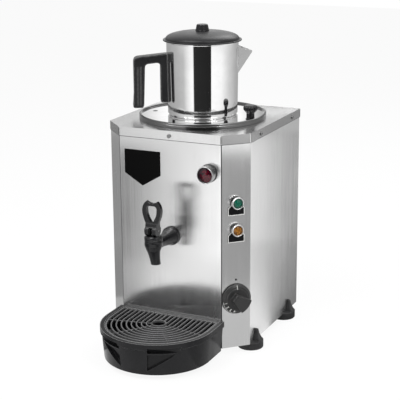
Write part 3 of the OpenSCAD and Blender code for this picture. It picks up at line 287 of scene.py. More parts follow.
def polished(name, level, rough, size=30.0, wave=0.00004, warm=(1.0, 1.0, 1.0)):
    """Polished or plated metal with faint wiping marks."""
    material, tree, shader = start_material(name, Metallic=1.0)
    marks = use_group(tree, POLISH_MARKS, Size=size)
    wear_and_highlight = use_group(tree, WORN_AND_HIGHLIT_EDGES, Width=0.0004, Amount=0.4)["Mask"]
    bare = [level * share for share in warm] + [1.0]
    dull = [level * 0.9 * share for share in warm] + [1.0]
    # Lighter edges: wear, and painted highlights
    colour = tint(tree, wear_and_highlight, tint(tree, marks["Film"], bare, dull), grey(min(1.0, level * 1.15)))
    roughness = maths(tree, "ADD", spread(tree, marks["Film"], 0.0, 1.0, rough, rough + 0.03),
                      maths(tree, "MULTIPLY", marks["Scratches"], 0.05))
    finish_surface(tree, shader, colour, roughness, marks["Height"], wave, 0.3)
    return material


def moulded(name, colour, rough, fineness=1400.0, depth=0.00003, strength=0.35, worn_and_lit=0.35, dusty=0.05,
            edge_wide=0.0008, edge_wear_and_highlight_tone=0.045, **plain):
    """Moulded plastic or rubber: pebbled skin, worn edges with painted highlights, a trace of dust."""
    material, tree, shader = start_material(name, **plain)
    skin = use_group(tree, MOULDED_SKIN, Fineness=fineness)
    wear_and_highlight = use_group(tree, WORN_AND_HIGHLIT_EDGES, Width=edge_wide, Amount=worn_and_lit)["Mask"]
    dust = use_group(tree, SETTLED_DUST, Amount=dusty)["Mask"]
    base = [*colour, 1.0]
    pale = [0.9 * part + 0.006 for part in colour] + [1.0]
    # Edge tone: wear, and painted highlights where the edges are wide and light
    light = [0.85 * part + edge_wear_and_highlight_tone for part in colour] + [1.0]
    flow = tint(tree, spread(tree, skin["Flow"], 0.35, 0.65, 0.0, 0.5), base, pale)
    tone = tint(tree, dust, tint(tree, wear_and_highlight, flow, light), (0.42, 0.41, 0.39, 1))
    roughness = maths(tree, "ADD", spread(tree, skin["Flow"], 0.3, 0.7, rough - 0.05, rough + 0.05),
                      maths(tree, "MULTIPLY", wear_and_highlight, -0.12))
    finish_surface(tree, shader, tone, roughness, skin["Height"], depth, strength)
    return material


def lens_material(name, deep, bright, fineness=420.0, rough=0.08, glow=None):
    """Tinted lamp lens: a deep colour with fine facets under a gloss coat.
    A glow is the middle of a bright part that is painted light, not lit."""
    material, tree, shader = start_material(name, Coat_Weight=0.3, Coat_Roughness=0.04, IOR=1.49,
                                            Specular_IOR_Level=0.3)
    facets = add(tree, "ShaderNodeTexVoronoi",
                 {"Vector": place(tree), "Scale": fineness}).outputs["Distance"]
    haze = noise(tree, place(tree), 120, 2.0)
    depth = spread(tree, facets, 0.0, 0.75, 0.0, 1.0)
    # Painted light: the lens is painted bright round the glow point
    if glow:
        away = add(tree, "ShaderNodeVectorMath", {0: place(tree), 1: glow},
                   operation="DISTANCE").outputs["Value"]
        depth = maths(tree, "MAXIMUM", depth, spread(tree, away, 0.005, 0.0135, 0.0, 1.0))
    colour = tint(tree, depth, [*bright, 1.0], [*deep, 1.0])
    roughness = spread(tree, haze, 0.3, 0.7, rough, rough + 0.08)
    finish_surface(tree, shader, colour, roughness, facets, 0.00015, 0.25)
    return material


def printed(name, colour, rough, gloss):
    """Printed or painted plate: an even colour with worn edges."""
    material, tree, shader = start_material(name, Specular_IOR_Level=gloss)
    mottle = noise(tree, place(tree), 160, 3.0)
    wear_and_highlight = use_group(tree, WORN_AND_HIGHLIT_EDGES, Width=0.0005, Amount=0.3)["Mask"]
    light = [min(1.0, part + 0.03) for part in colour] + [1.0]
    shade = [part * 0.85 for part in colour] + [1.0]
    tone = tint(tree, wear_and_highlight, tint(tree, mottle, [*colour, 1.0], shade), light)
    roughness = spread(tree, mottle, 0.3, 0.7, rough - 0.04, rough + 0.04)
    finish_surface(tree, shader, tone, roughness, mottle, 0.00002, 0.2)
    return material


# How the brushed lines are stretched: up the sheet, or across it
UPRIGHT = (1, 1, 0.006)
LEVEL_X = (0.006, 1, 1)
# Middle of the painted light on the red lens
RED_PAINTED_LIGHT = (0.086, FRONT_Y - 0.019, CASING_LOW + 0.35)

FINISHES = {
    "brushed_steel": brushed("brushed_steel", 0.8, 0.22, UPRIGHT, strength=0.02, spread_light=0.8),
    "plain_steel": brushed("plain_steel", 0.55, 0.34, LEVEL_X, 500.0),
    "polished_steel": polished("polished_steel", 0.84, 0.035),
    "satin_steel": brushed("satin_steel", 0.055, 0.32, (1, 1, 1), 300.0),
    "spout_steel": polished("spout_steel", 0.5, 0.14),
    # Darker copies of the steel, as painted shade: rims, collar and the cover's side skirts
    "painted_shade_rim_steel": brushed("painted_shade_rim_steel", 0.15, 0.16, (1, 1, 0.05), 600.0, strength=0.05),
    "painted_shade_skirt_steel": brushed("painted_shade_skirt_steel", 0.42, 0.24, LEVEL_X, strength=0.05),
    "tank_steel": brushed("tank_steel", 0.6, 0.24, (1, 1, 0.02), 600.0),
    "black_plastic": moulded("black_plastic", (0.006, 0.006, 0.007), 0.26, Specular_IOR_Level=0.22),
    "lid_plastic": moulded("lid_plastic", (0.014, 0.014, 0.015), 0.34, depth=0.00001, worn_and_lit=0.6, dusty=0.0,
                           Specular_IOR_Level=0.2),
    # The grip, tap, knob, tray and grid get wide, light edges: painted highlights as well as wear
    "grip_plastic": moulded("grip_plastic", (0.013, 0.013, 0.014), 0.3, worn_and_lit=3.0, edge_wide=0.003,
                            edge_wear_and_highlight_tone=0.12, Specular_IOR_Level=0.25),
    "tap_plastic": moulded("tap_plastic", (0.006, 0.006, 0.007), 0.2, depth=0.00001, worn_and_lit=1.6,
                           edge_wide=0.0012, edge_wear_and_highlight_tone=0.09, Specular_IOR_Level=0.3),
    "knob_plastic": moulded("knob_plastic", (0.02, 0.02, 0.02), 0.34, depth=0.00001, worn_and_lit=2.5,
                            edge_wide=0.0014, edge_wear_and_highlight_tone=0.08, Specular_IOR_Level=0.4),
    # Light grey for the painted highlight lines on the tray's rim
    "highlight_plastic": moulded("highlight_plastic", (0.2, 0.2, 0.2), 0.3, depth=0.00001),
    "tray_plastic": moulded("tray_plastic", (0.008, 0.008, 0.009), 0.2, worn_and_lit=2.2, Specular_IOR_Level=0.22),
    "grid_plastic": moulded("grid_plastic", (0.1, 0.1, 0.102), 0.25, depth=0.00001, worn_and_lit=1.6,
                            Specular_IOR_Level=0.5),
    "black_rubber": moulded("black_rubber", (0.012, 0.012, 0.013), 0.6, 900.0, worn_and_lit=0.2, dusty=0.12),
    "screw_steel": polished("screw_steel", 0.3, 0.3, 120.0),
    "heater_metal": brushed("heater_metal", 0.22, 0.42, (1, 1, 1), 400.0),
    "brass": polished("brass", 0.72, 0.22, 80.0, warm=(1.0, 0.76, 0.38)),
    "copper_tube": polished("copper_tube", 0.75, 0.25, 80.0, warm=(1.0, 0.58, 0.4)),
    "red_seal": moulded("red_seal", (0.4, 0.04, 0.03), 0.5, 900.0),
    "white_silicone": moulded("white_silicone", (0.78, 0.78, 0.76), 0.45, 700.0, worn_and_lit=0.0),
    "ivory_plastic": moulded("ivory_plastic", (0.75, 0.7, 0.58), 0.45, 900.0, worn_and_lit=0.1),
    "wire_sleeve": moulded("wire_sleeve", (0.3, 0.08, 0.05), 0.5, 900.0, worn_and_lit=0.0),
    "gland_plastic": moulded("gland_plastic", (0.03, 0.03, 0.03), 0.45),
    "lamp_barrel": moulded("lamp_barrel", (0.03, 0.03, 0.03), 0.35, 900.0),
    "lamp_chrome": polished("lamp_chrome", 0.72, 0.3, 160.0),
    "lamp_ring": polished("lamp_ring", 0.42, 0.3, 160.0),
    "red_lens": lens_material("red_lens", (0.007, 0.0, 0.003), (0.15, 0.003, 0.014), 300.0,
                              glow=RED_PAINTED_LIGHT),
    "green_lens": lens_material("green_lens", (0.0, 0.05, 0.03), (0.004, 0.2, 0.12)),
    "amber_lens": lens_material("amber_lens", (0.12, 0.04, 0.0), (0.5, 0.21, 0.02)),
    "legend_plate": printed("legend_plate", (0.008, 0.008, 0.009), 0.4, 0.1),
    "badge": printed("badge", (0.002, 0.002, 0.002), 0.35, 0.06),
    "white_print": printed("white_print", (0.8, 0.8, 0.78), 0.5, 0.3),
}


def finish_solids():
    """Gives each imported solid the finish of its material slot."""
    for name, solid in nodes.items():
        solid.data.materials.clear()
        solid.data.materials.append(FINISHES[slot_of_node[name]])


# ---------- floor, lights and what the steel reflects ----------
def shows_background(tree):
    """1 for the rays that see the background: from the camera, or by way of metal or glass."""
    path = add(tree, "ShaderNodeLightPath").outputs
    seen = maths(tree, "MAXIMUM", path["Is Camera Ray"], path["Is Glossy Ray"])
    return maths(tree, "MAXIMUM", seen, path["Is Transmission Ray"])


def bare_material(name):
    """A material with nothing but its output."""
    material = bpy.data.materials.new(name)
    material.use_nodes = True
    tree = material.node_tree
    tree.nodes.remove(tree.nodes["Principled BSDF"])
    return material, tree


def glowing(made, material, tree, colour):
    """The stage piece shines in a colour, and only reflections show it."""
    glow = add(tree, "ShaderNodeEmission", {"Color": colour}).outputs[0]
    tree.links.new(glow, tree.nodes["Material Output"].inputs["Surface"])
    made.data.materials.append(material)
    made.visible_camera = made.visible_diffuse = made.visible_shadow = made.visible_transmission = False


def light_world():
    """Soft light from all round, behind a white background."""
    world = bpy.data.worlds.new("studio")
    bpy.context.scene.world = world
    world.use_nodes = True
    tree = world.node_tree
    back = tree.nodes["Background"]
    tree.links.new(tint(tree, shows_background(tree), grey(0.62), grey(1.0)), back.inputs["Color"])


def lay_floor():
    """White floor that keeps the urn's shadow."""
    floor = mesh_object("floor", [(-6, -6, 0), (6, -6, 0), (6, 6, 0), (-6, 6, 0)], [(0, 1, 2, 3)])
    material, tree = bare_material("pale_floor")
    matt = add(tree, "ShaderNodeBsdfDiffuse", {"Color": grey(0.86)}).outputs[0]
    glow = add(tree, "ShaderNodeEmission", {"Color": grey(1.0)}).outputs[0]
    share = maths(tree, "MULTIPLY", shows_background(tree), 0.9)
    both = add(tree, "ShaderNodeMixShader", {0: share, 1: matt, 2: glow}).outputs[0]
    tree.links.new(both, tree.nodes["Material Output"].inputs["Surface"])
    floor.data.materials.append(material)


def build_stage():
    """World, floor, reflecting boards and lamps."""
    light_world()
    lay_floor()
    reflecting_wall()
    half_wide, half_deep, corner_cut = HALF_WIDE * MM, HALF_DEEP * MM, CORNER_CUT * MM
    front_left = (corner_cut - half_wide, -half_deep)
    left_corner, right_corner = [(side * (half_wide - corner_cut / 2), corner_cut / 2 - half_deep)
                                 for side in (-1, 1)]
    floor_board("front_left_board", 0.3, front_left, -25, (-0.022, 0.5), (0.0, 0.6), 0.002)
    floor_board("left_board", 0.3, left_corner, -115, (-0.15, 0.15), (0.2, 0.66), 0.003)
    floor_board("left_foot_board", 0.5, left_corner, -115, (-0.15, 0.05), (0.0, 0.2), 0.004)
    floor_board("corner_board", 0.36, right_corner, 65, (-0.15, 0.15), (0.36, 0.62), 0.003)
    floor_board("corner_foot_board", 0.62, right_corner, 65, (-0.15, 0.1), (0.0, 0.36), 0.003)
    floor_board("back_right_board", 0.24, (half_wide, 0.0), 155, (-0.5, 0.0), (0.0, 0.7), 0.002)
    area_light("top_light", (-0.35, -0.85, 1.9), 1.0, 20)
    area_light("side_light", (1.1, -0.4, 1.9), 0.9, 12)
    area_light("back_light", (0.1, 1.5, 1.9), 1.2, 12)
    area_light("left_spot", (-0.9, -1.1, 1.3), 0.25, 3.5)
    area_light("right_spot", (1.5, -0.9, 1.5), 0.25, 3.5)


def mesh_object(name, points, faces):
    """Open mesh from its points and faces, for the stage."""
    mesh = bpy.data.meshes.new(name)
    mesh.from_pydata([tuple(point) for point in points], [], faces)
    mesh.update()
    return put(name, mesh)


# The wall round the urn has three belts, which the casing, the teapot and the urn's lid reflect.
# Each belt says how bright the wall is at a side: 0 is the front, 90 the right.
# A pair of heights is where one belt passes into the next.
WALL_R = 0.7
WALL_HIGH = 0.75
TEAPOT_BELT_FROM = (0.278, 0.284)
LID_BELT_FROM = (0.45, 0.52)
CASING_LEVELS = [
    (-180, 0.3), (-130, 0.32), (-85, 0.34), (-60, 0.2), (-36, 0.12), (-28, 0.16), (-22.5, 0.85),
    (-16, 1.15), (-8, 1.4), (35, 1.2), (46, 0.38), (75, 0.34), (92, 0.7), (110, 1.2), (140, 1.3),
    (146, 0.42), (154, 0.2), (180, 0.3)]
TEAPOT_LEVELS = [
    (-180, 0.42), (-171, 0.45), (-166, 0.4), (-147, 0.35), (-110, 0.42), (-67, 0.5), (-36, 0.62),
    (-24, 0.92), (-12, 1.15), (-3, 1.2), (-2.5, 0.03), (51, 0.02), (51.5, 1.2), (85, 1.15),
    (117, 0.75), (151, 0.5), (180, 0.42)]
LID_LEVELS = [
    (-180, 0.36), (-168, 0.42), (-163, 1.15), (-147, 1.15), (-140, 0.55), (-110, 0.42), (-67, 0.57),
    (-31, 0.95), (-3, 1.0), (-2.5, 0.03), (51, 0.02), (51.5, 1.0), (85, 1.0), (117, 0.75),
    (151, 0.5), (180, 0.4)]


def level_round(tree, side, levels):
    """Brightness round the wall, from pairs of side and level."""
    at = maths(tree, "DIVIDE", maths(tree, "ADD", side, pi), 2 * pi)
    ramp = tree.nodes.new("ShaderNodeValToRGB")
    tree.links.new(at, ramp.inputs["Fac"])
    stops = ramp.color_ramp.elements
    while len(stops) < len(levels):
        stops.new(0.5)
    for stop, (degrees_round, level) in zip(stops, levels):
        stop.position = (degrees_round + 180) / 360
        stop.color = grey(level)
    return ramp.outputs["Color"]


def reflecting_wall():
    """Round wall of pale and dark boards, in three belts."""
    steps = 120
    points = [(WALL_R * sin(2 * pi * step / steps), WALL_R * cos(2 * pi * step / steps), height)
              for height in (0, WALL_HIGH) for step in range(steps)]
    faces = [(step, (step + 1) % steps, steps + (step + 1) % steps, steps + step) for step in range(steps)]
    made = mesh_object("reflecting_wall", points, faces)
    made.location.y = MIDDLE_Y
    material, tree = bare_material("reflecting_wall")
    at = add(tree, "ShaderNodeSeparateXYZ", {"Vector": place(tree)}).outputs
    side = maths(tree, "ARCTAN2", at["X"], maths(tree, "MULTIPLY", at["Y"], -1.0))
    casing_level = level_round(tree, side, CASING_LEVELS)
    teapot_level = level_round(tree, side, TEAPOT_LEVELS)
    lid_level = level_round(tree, side, LID_LEVELS)
    lower = tint(tree, spread(tree, at["Z"], *TEAPOT_BELT_FROM, 0.0, 1.0), casing_level, teapot_level)
    level = tint(tree, spread(tree, at["Z"], *LID_BELT_FROM, 0.0, 1.0), lower, lid_level)
    glowing(made, material, tree, level)


def floor_board(name, level, start, side, widths, lengths, lift):
    """Grey board on the floor. It runs from a point towards one side, with a width to each hand."""
    along = Vector((sin(radians(side)), -cos(radians(side))))
    across = Vector((along.y, -along.x))
    corners = [Vector(start) + along * length + across * width
               for length, width in ((lengths[0], widths[0]), (lengths[1], widths[0]),
                                     (lengths[1], widths[1]), (lengths[0], widths[1]))]
    made = mesh_object(name, [(corner.x, corner.y + MIDDLE_Y, lift) for corner in corners], [(0, 1, 2, 3)])
    glowing(made, *bare_material(name), grey(level))


def area_light(name, at, size, power):
    """Square lamp that shines on the middle of the urn."""
    lamp = bpy.data.lights.new(name, "AREA")
    lamp.size = size
    lamp.energy = power
    made = put(name, lamp)
    aim = Vector(at) - Vector((0, MIDDLE_Y, 0.3))
    made.matrix_world = Matrix.Translation(Vector(at)) @ aim.to_track_quat("Z", "Y").to_matrix().to_4x4()


# ---------- shape tools: sizes in millimetres, in the frame that each place gives ----------
def casing(x=0.0, y=0.0, z=0.0):
    """Frame at a point of the casing: x and y from its middle, z from its lower edge."""
    return Matrix.Translation((x * MM, MIDDLE_Y + y * MM, CASING_LOW + z * MM)) @ Matrix.Scale(MM, 4)


def turned(angle, axis):
    """Turn about an axis, in degrees."""
    return Matrix.Rotation(radians(angle), 4, axis)


def on_front(x, z):
    """Frame on the front panel, with its Z out of the panel."""
    return casing(x, -HALF_DEEP, z) @ turned(90, "X")


def on_corner(z):
    """Frame in the middle of the cut right corner, with its Z out of it."""
    half = CORNER_CUT / 2
    return casing(HALF_WIDE - half, half - HALF_DEEP, z) @ turned(45, "Z") @ turned(90, "X")


def arc(x, y, radius, start, end, steps=6):
    """Points along an arc, ends included."""
    angles = [radians(start + (end - start) * step / steps) for step in range(steps + 1)]
    return [(x + radius * cos(angle), y + radius * sin(angle)) for angle in angles]


def eased(corners, closed=False, steps=5):
    """Outline whose corners (x, y, radius) are rounded. A corner with no radius stays sharp."""
    count = len(corners)
    points = []
    for index, corner in enumerate(corners):
        here = Vector(corner[:2])
        radius = corner[2] if len(corner) > 2 else 0
        if not radius or (not closed and index in (0, count - 1)):
            points.append(tuple(here))
            continue
        back = Vector(corners[index - 1][:2]) - here
        ahead = Vector(corners[(index + 1) % count][:2]) - here
        half = back.angle(ahead) / 2
        reach = min(radius / tan(half), 0.49 * back.length, 0.49 * ahead.length)
        start, end = here + back.normalized() * reach, here + ahead.normalized() * reach
        for step in range(steps + 1):
            share = step / steps
            bend = start * (1 - share) ** 2 + here * (2 * share * (1 - share)) + end * share ** 2
            points.append(tuple(bend))
    return points


def from_shape(name, shape):
    """New object from a bmesh, which is freed."""
    mesh = bpy.data.meshes.new(name)
    shape.to_mesh(mesh)
    shape.free()
    return put(name, mesh)


def make_piece(name, points, faces, at, sharp=35):
    """Mesh object of a closed skin, smooth except at edges sharper than an angle."""
    shape = bmesh.new()
    corners = [shape.verts.new(at @ Vector(point)) for point in points]
    for face in faces:
        if len(set(face)) > 2:
            shape.faces.new([corners[index] for index in face])
    bmesh.ops.recalc_face_normals(shape, faces=shape.faces)
    made = from_shape(name, shape)
    shade(made, sharp)
    return made


def shade(piece, sharp):
    """Smooth shading, with sharp edges above an angle."""
    piece.data.shade_smooth()
    piece.data.set_sharp_from_angle(angle=radians(sharp))


def lathe(name, profile, at, steps=96, wave=None, sharp=35):
    """Turned piece from its half section (radius, height).
    A section that starts and ends off the axis makes a ring.
    A wave gives the new radius from the radius, the height and the angle."""
    points, rows = [], []
    for radius, height in profile:
        if radius < 1e-6:
            points.append((0, 0, height))
            rows.append([len(points) - 1] * steps)
            continue
        row = []
        for step in range(steps):
            angle = 2 * pi * step / steps
            wide = wave(radius, height, angle) if wave else radius
            points.append((wide * cos(angle), wide * sin(angle), height))
            row.append(len(points) - 1)
        rows.append(row)
    if profile[0][0] > 1e-6 and profile[-1][0] > 1e-6:
        rows.append(rows[0])
    faces = []
    for low, high in zip(rows, rows[1:]):
        for step in range(steps):
            after = (step + 1) % steps
            faces.append(list(dict.fromkeys([low[step], low[after], high[after], high[step]])))
    return make_piece(name, points, faces, at, sharp)


def layers(name, loops, at, sharp=35):
    """Solid from closed outlines that lie one on the other, each with as many points."""
    count = len(loops[0])
    points = [point for loop in loops for point in loop]
    faces = [list(range(count)), list(range(len(points) - count, len(points)))]
    for row in range(len(loops) - 1):
        for step in range(count):
            after = (step + 1) % count
            low, high = row * count, (row + 1) * count
            faces.append([low + step, low + after, high + after, high + step])
    return make_piece(name, points, faces, at, sharp)


def shrunk(outline, distance):
    """Closed counterclockwise outline moved inwards."""
    moved = []
    for index, point in enumerate(outline):
        here = Vector(point)
        along = (here - Vector(outline[index - 1])).normalized()
        ahead = (Vector(outline[(index + 1) % len(outline)]) - here).normalized()
        inwards = Vector((-along.y - ahead.y, along.x + ahead.x))
        scale = distance / max(0.35, 1 + along.dot(ahead))
        moved.append(tuple(here + inwards * scale))
    return moved


def plate(name, outline, low, high, bevel, at, sharp=35, steps=3):
    """Flat piece from its outline, with rounded edges."""
    loops = []
    for level, turn in ((low, 1), (high, -1)):
        edge = []
        for step in range(steps + 1) if bevel else (steps,):
            angle = radians(90 * step / steps)
            ring = shrunk(outline, bevel * (1 - sin(angle))) if bevel else outline
            edge.append([(x, y, level + turn * bevel * (1 - cos(angle))) for x, y in ring])
        loops += edge if turn > 0 else edge[::-1]
    return layers(name, loops, at, sharp)


def band(name, outer, inner, low, high, at, sharp=30):
    """Closed band between two outlines with as many points each."""
    count = len(outer)
    points = [(x, y, level) for loop in (outer, inner) for level in (low, high) for x, y in loop]
    faces = []
    for step in range(count):
        after = (step + 1) % count
        for a, b in ((0, 1), (1, 3), (3, 2), (2, 0)):
            faces.append([a * count + step, a * count + after, b * count + after, b * count + step])
    return make_piece(name, points, faces, at, sharp)


def settle(piece, sharp=35):
    """Applies a piece's modifiers to its mesh."""
    bpy.context.view_layer.update()
    seen = piece.evaluated_get(bpy.context.evaluated_depsgraph_get())
    mesh = bpy.data.meshes.new_from_object(seen)
    piece.modifiers.clear()
    piece.data = mesh
    shade(piece, sharp)


def cut(piece, *cutters, sharp=35):
    """Takes the cutters out of a piece, and removes them. Its many-sided faces are split first."""
    split = piece.modifiers.new("split", "TRIANGULATE")
    split.min_vertices = 5
    for cutter in cutters:
        change = piece.modifiers.new("cut", "BOOLEAN")
        change.object = cutter
        change.solver = "EXACT"
    settle(piece, sharp)
    for cutter in cutters:
        bpy.data.objects.remove(cutter)


def joined(name, pieces):
    """Several pieces as one object."""
    shape = bmesh.new()
    for piece in pieces:
        shape.from_mesh(piece.data)
        bpy.data.objects.remove(piece)
    return from_shape(name, shape)


def copy_of(name, node):
    """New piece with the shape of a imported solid, its flat faces whole."""
    shape = bmesh.new()
    shape.from_mesh(nodes[node].data)
    bmesh.ops.remove_doubles(shape, verts=shape.verts, dist=0.000002)
    bmesh.ops.dissolve_limit(shape, angle_limit=radians(0.4), verts=shape.verts, edges=shape.edges)
    return from_shape(name, shape)


def bent_edges(name, node, width, steps=3):
    """A sheet or turned solid whose edges get a small radius."""
    piece = copy_of(name, node)
    change = piece.modifiers.new("edges", "BEVEL")
    change.width = width * MM
    change.segments = steps
    change.limit_method = "ANGLE"
    change.angle_limit = radians(32)
    change.use_clamp_overlap = True
    settle(piece, 30)
    stands_for(piece, node)
    return piece


def moulding(piece, voxel, rounds):
    """Runs the edges and joints of a moulded piece into each other."""
    change = piece.modifiers.new("skin", "REMESH")
    change.mode = "VOXEL"
    change.voxel_size = voxel * MM
    ease = piece.modifiers.new("ease", "SMOOTH")
    ease.factor = 0.5
    ease.iterations = rounds
    settle(piece, 60)
    return piece


def belongs_to(piece, name, finish):
    """The piece gets its finish and rides with the solid that it is on. Its large faces shade flat."""
    piece.data.materials.append(FINISHES[finish])
    even = piece.modifiers.new("even", "WEIGHTED_NORMAL")
    even.keep_sharp = True
    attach(piece, body_of_node[name])


def stands_for(piece, *names):
    """The piece takes its finish and its body from the solids that it stands for."""
    belongs_to(piece, names[0], slot_of_node[names[0]])
    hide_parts(*names)


# ---------- casing ----------
FOLD_X = HALF_WIDE - CORNER_CUT
SEAM_HIGH = 0.12
INDEX_Z, INDEX_R = 139.1, 2.0


def finish_cover(cover):
    """Painted shade: the collar round the tank's mouth is darker than the cover, and so is the skirt but for
    its front.
    """
    cover.data.materials.append(FINISHES["painted_shade_rim_steel"])
    cover.data.materials.append(FINISHES["painted_shade_skirt_steel"])
    collar_low, collar_r = COVER_Z - 9 * MM, 0.14
    skirt_top = CASING_LOW + CASING_HIGH * MM
    for face in cover.data.polygons:
        middle, out = face.center, face.normal
        if middle.z > collar_low and abs(out.z) < 0.9:
            face.material_index = 1 if hypot(middle.x, middle.y - MIDDLE_Y) < collar_r else 0
        if middle.z < skirt_top and abs(out.z) < 0.3 and abs(out.x) > 0.5:
            face.material_index = 2


def make_fold_seam(name, side, wide):
    """Painted shadow: a dark strip down a fold between the front panel and a side panel, where the seam is
    in shade.
    """
    x, y = side * FOLD_X, -HALF_DEEP
    near, far, back = x - side * wide / 2, x + side * wide * 0.7 / 2, y + wide * 0.7 / 2
    outline = [(near, y + 0.1), (near, y - SEAM_HIGH), (x, y - SEAM_HIGH), (far, back - SEAM_HIGH),
               (far, back + 0.1)]
    shadow_strip = plate(name, outline[::side], 1, SKIRT_BOTTOM, 0, casing())
    belongs_to(shadow_strip, "tank_seal_ring", "black_rubber")


def make_cover_gap():
    """Painted shadow: a dark line round the casing, in the gap under the cover's skirt."""
    back_of_cut = CORNER_CUT - HALF_DEEP
    corners = [(-FOLD_X, -HALF_DEEP), (FOLD_X, -HALF_DEEP), (HALF_WIDE, back_of_cut),
               (HALF_WIDE, HALF_DEEP), (-HALF_WIDE, HALF_DEEP), (-HALF_WIDE, back_of_cut)]
    gap_shadow = band("cover_gap_shadow", shrunk(corners, -0.3), shrunk(corners, 0.4),
               SKIRT_BOTTOM - 0.8, SKIRT_BOTTOM, casing())
    belongs_to(gap_shadow, "tank_seal_ring", "black_rubber")


def make_casing():
    """Panels, cover, screws and feet, with painted shadow lines where the sheets meet, and the knob's index
    dot.
    """
    for name in ("front_panel", "left_side_panel", "right_side_panel", "back_panel"):
        bent_edges(name + "_sheet", name, 0.35)
    finish_cover(bent_edges("cover_sheet", "top_cover", 1.1, 4))
    for name in ("cover_screws", "back_panel_screws"):
        bent_edges(name + "_heads", name, 0.45)
    stands_for(moulding(copy_of("feet", "rubber_feet"), 0.9, 6), "rubber_feet")
    make_fold_seam("fold_seam_shadow_right", 1, 2.0)
    make_fold_seam("fold_seam_shadow_left", -1, 0.9)
    make_cover_gap()
    mark = lathe("knob_index", [(0, 0), (INDEX_R, 0), (INDEX_R, 0.4), (0, 0.4)], on_corner(INDEX_Z), 24)
    belongs_to(mark, "right_side_panel", "legend_plate")


# ---------- lamps, plates and badge ----------
PLATE_THICK = 1.0
RED_LAMP_X, RED_LAMP_Z = 82, 350.6
CORNER_LAMPS = (("green", 293.8), ("amber", 240.2))


def make_red_lamp():
    """Lamp in a long ring, with a faceted lens a little proud of it."""
    at = on_front(RED_LAMP_X, RED_LAMP_Z)
    low, high, lens_r = 4.5, 19.5, 14.9
    gasket = lathe("red_lamp_seal", eased([(12, 0), (17.6, 0, 0.4), (17.6, 1.5, 0.5), (12, 1.5)]), at)
    stands_for(gasket, "red_lamp_gasket")
    flange = eased([(12, 1.5), (16.9, 1.5, 0.5), (16.9, low, 0.8), (12, low)])
    stands_for(lathe("red_lamp_flange", flange, at), "red_lamp_body")
    rim = eased([(lens_r, low), (16.3, low, 0.4), (16.5, high - 1.6, 1.4), (15.6, high, 0.5),
                 (lens_r, high - 0.4, 0.3)])
    ring = lathe("red_lamp_ring", rim, at, 96)
    stands_for(ring, "red_lamp_bezel")
    ring.data.materials[0] = FINISHES["lamp_ring"]
    make_faceted_lens(at, low, high, lens_r)


def make_faceted_lens(at, low, high, lens_r):
    """Lens with a point, two belts of facets and a straight side."""
    facets = 14
    points, faces = [(0, 0, high + 1.4)], []
    for row, (radius, height) in enumerate(((4.8, high + 1.1), (9.6, high + 0.2), (lens_r, high - 1.8))):
        for step in range(facets):
            angle = 2 * pi * (step + 0.5 * row) / facets
            points.append((radius * cos(angle), radius * sin(angle), height))
    for step in range(facets):
        after = (step + 1) % facets
        faces.append([0, 1 + step, 1 + after])
        for row in (0, 1):
            lower, upper = 1 + row * facets, 1 + (row + 1) * facets
            faces.append([lower + step, upper + step, lower + after])
            faces.append([lower + after, upper + step, upper + after])
    rim_row = 1 + 2 * facets
    points += [(x, y, low) for x, y, _ in points[rim_row:rim_row + facets]]
    under = rim_row + facets
    for step in range(facets):
        after = (step + 1) % facets
        faces.append([rim_row + step, under + step, under + after, rim_row + after])
    faces.append(list(range(under, under + facets)))
    stands_for(make_piece("red_lamp_glass", points, faces, at, 5), "red_lamp_lens")


def make_corner_lamp(colour, height):
    """Small lamp: dark barrel, plated ring and domed lens."""
    at = on_corner(height)
    base = PLATE_THICK
    barrel = eased([(8.4, base), (10.6, base, 0.4), (10.6, base + 2.2, 0.3), (11.3, base + 2.6, 0.4),
                    (11.3, base + 5.2), (8.4, base + 5.2)])
    stands_for(lathe(colour + "_lamp_barrel", barrel, at), colour + "_lamp_body")
    low, high = base + 5.0, base + 11.0
    rim = eased([(9.4, low), (11.6, low, 0.5), (12.0, low + 1.2, 0.5), (12.0, high - 1.4, 0.9),
                 (11.1, high, 0.6), (9.9, high - 0.5, 0.5), (9.1, high - 2.8, 0.3), (9.1, low)])
    stands_for(lathe(colour + "_lamp_ring", rim, at), colour + "_lamp_bezel")
    lens_r, dome_low, flatness = 9.0, low + 1.2, 0.36
    dome = [(radius, dome_low + rise * flatness) for radius, rise in arc(0, 0, lens_r, 0, 90, 12)]
    lens = lathe(colour + "_lamp_glass", [(0, low), (lens_r, low)] + dome, at)
    stands_for(lens, colour + "_lamp_lens")


def legend_outline(grow, high):
    """Outline of a legend plate: wide under the lamp, with a tab that reaches behind the lamp's ring."""
    half, low, tab, top = 17.0 + grow, -25.5 - grow, 9.5 + grow, high + grow
    side, neck = -11.0 + 0.6 * grow, -4 + 0.6 * grow
    return eased([(-half, low, 1), (half, low, 1), (half, side, 1), (tab, neck), (tab, top),
                  (-tab, top), (-tab, neck), (-half, side, 1)], closed=True, steps=3)


def make_legend_plate(colour, height):
    """Black plate with a white border. Its legend is left bare."""
    at = on_corner(height)
    edge = plate(colour + "_legend", legend_outline(0.0, 6.0), 0.05, PLATE_THICK, 0.25, at)
    hole = lathe("hole", [(0, -2), (8.1, -2), (8.1, 4), (0, 4)], at, 48)
    cut(edge, hole)
    stands_for(edge, colour + "_legend_plate")
    border = band(colour + "_legend_border", legend_outline(-0.15, -2.0), legend_outline(-1.4, -2.0),
                  PLATE_THICK - 0.2, PLATE_THICK + 0.06, at)
    belongs_to(border, colour + "_legend_plate", "white_print")


def make_badge():
    """Bare black shield on the front panel."""
    half, side, low = 38.5, -47.0, -70.0
    outline = eased([(-half, side, 0.8), (0, low, 0.8), (half, side, 0.8), (half, 0, 0.8), (-half, 0, 0.8)],
                    closed=True, steps=3)
    at = on_front(49.5 - FOLD_X, CASING_HIGH - 43)
    made = plate("badge_shield", outline, 0.05, PLATE_THICK, 0.3, at)
    stands_for(made, "badge_plate")


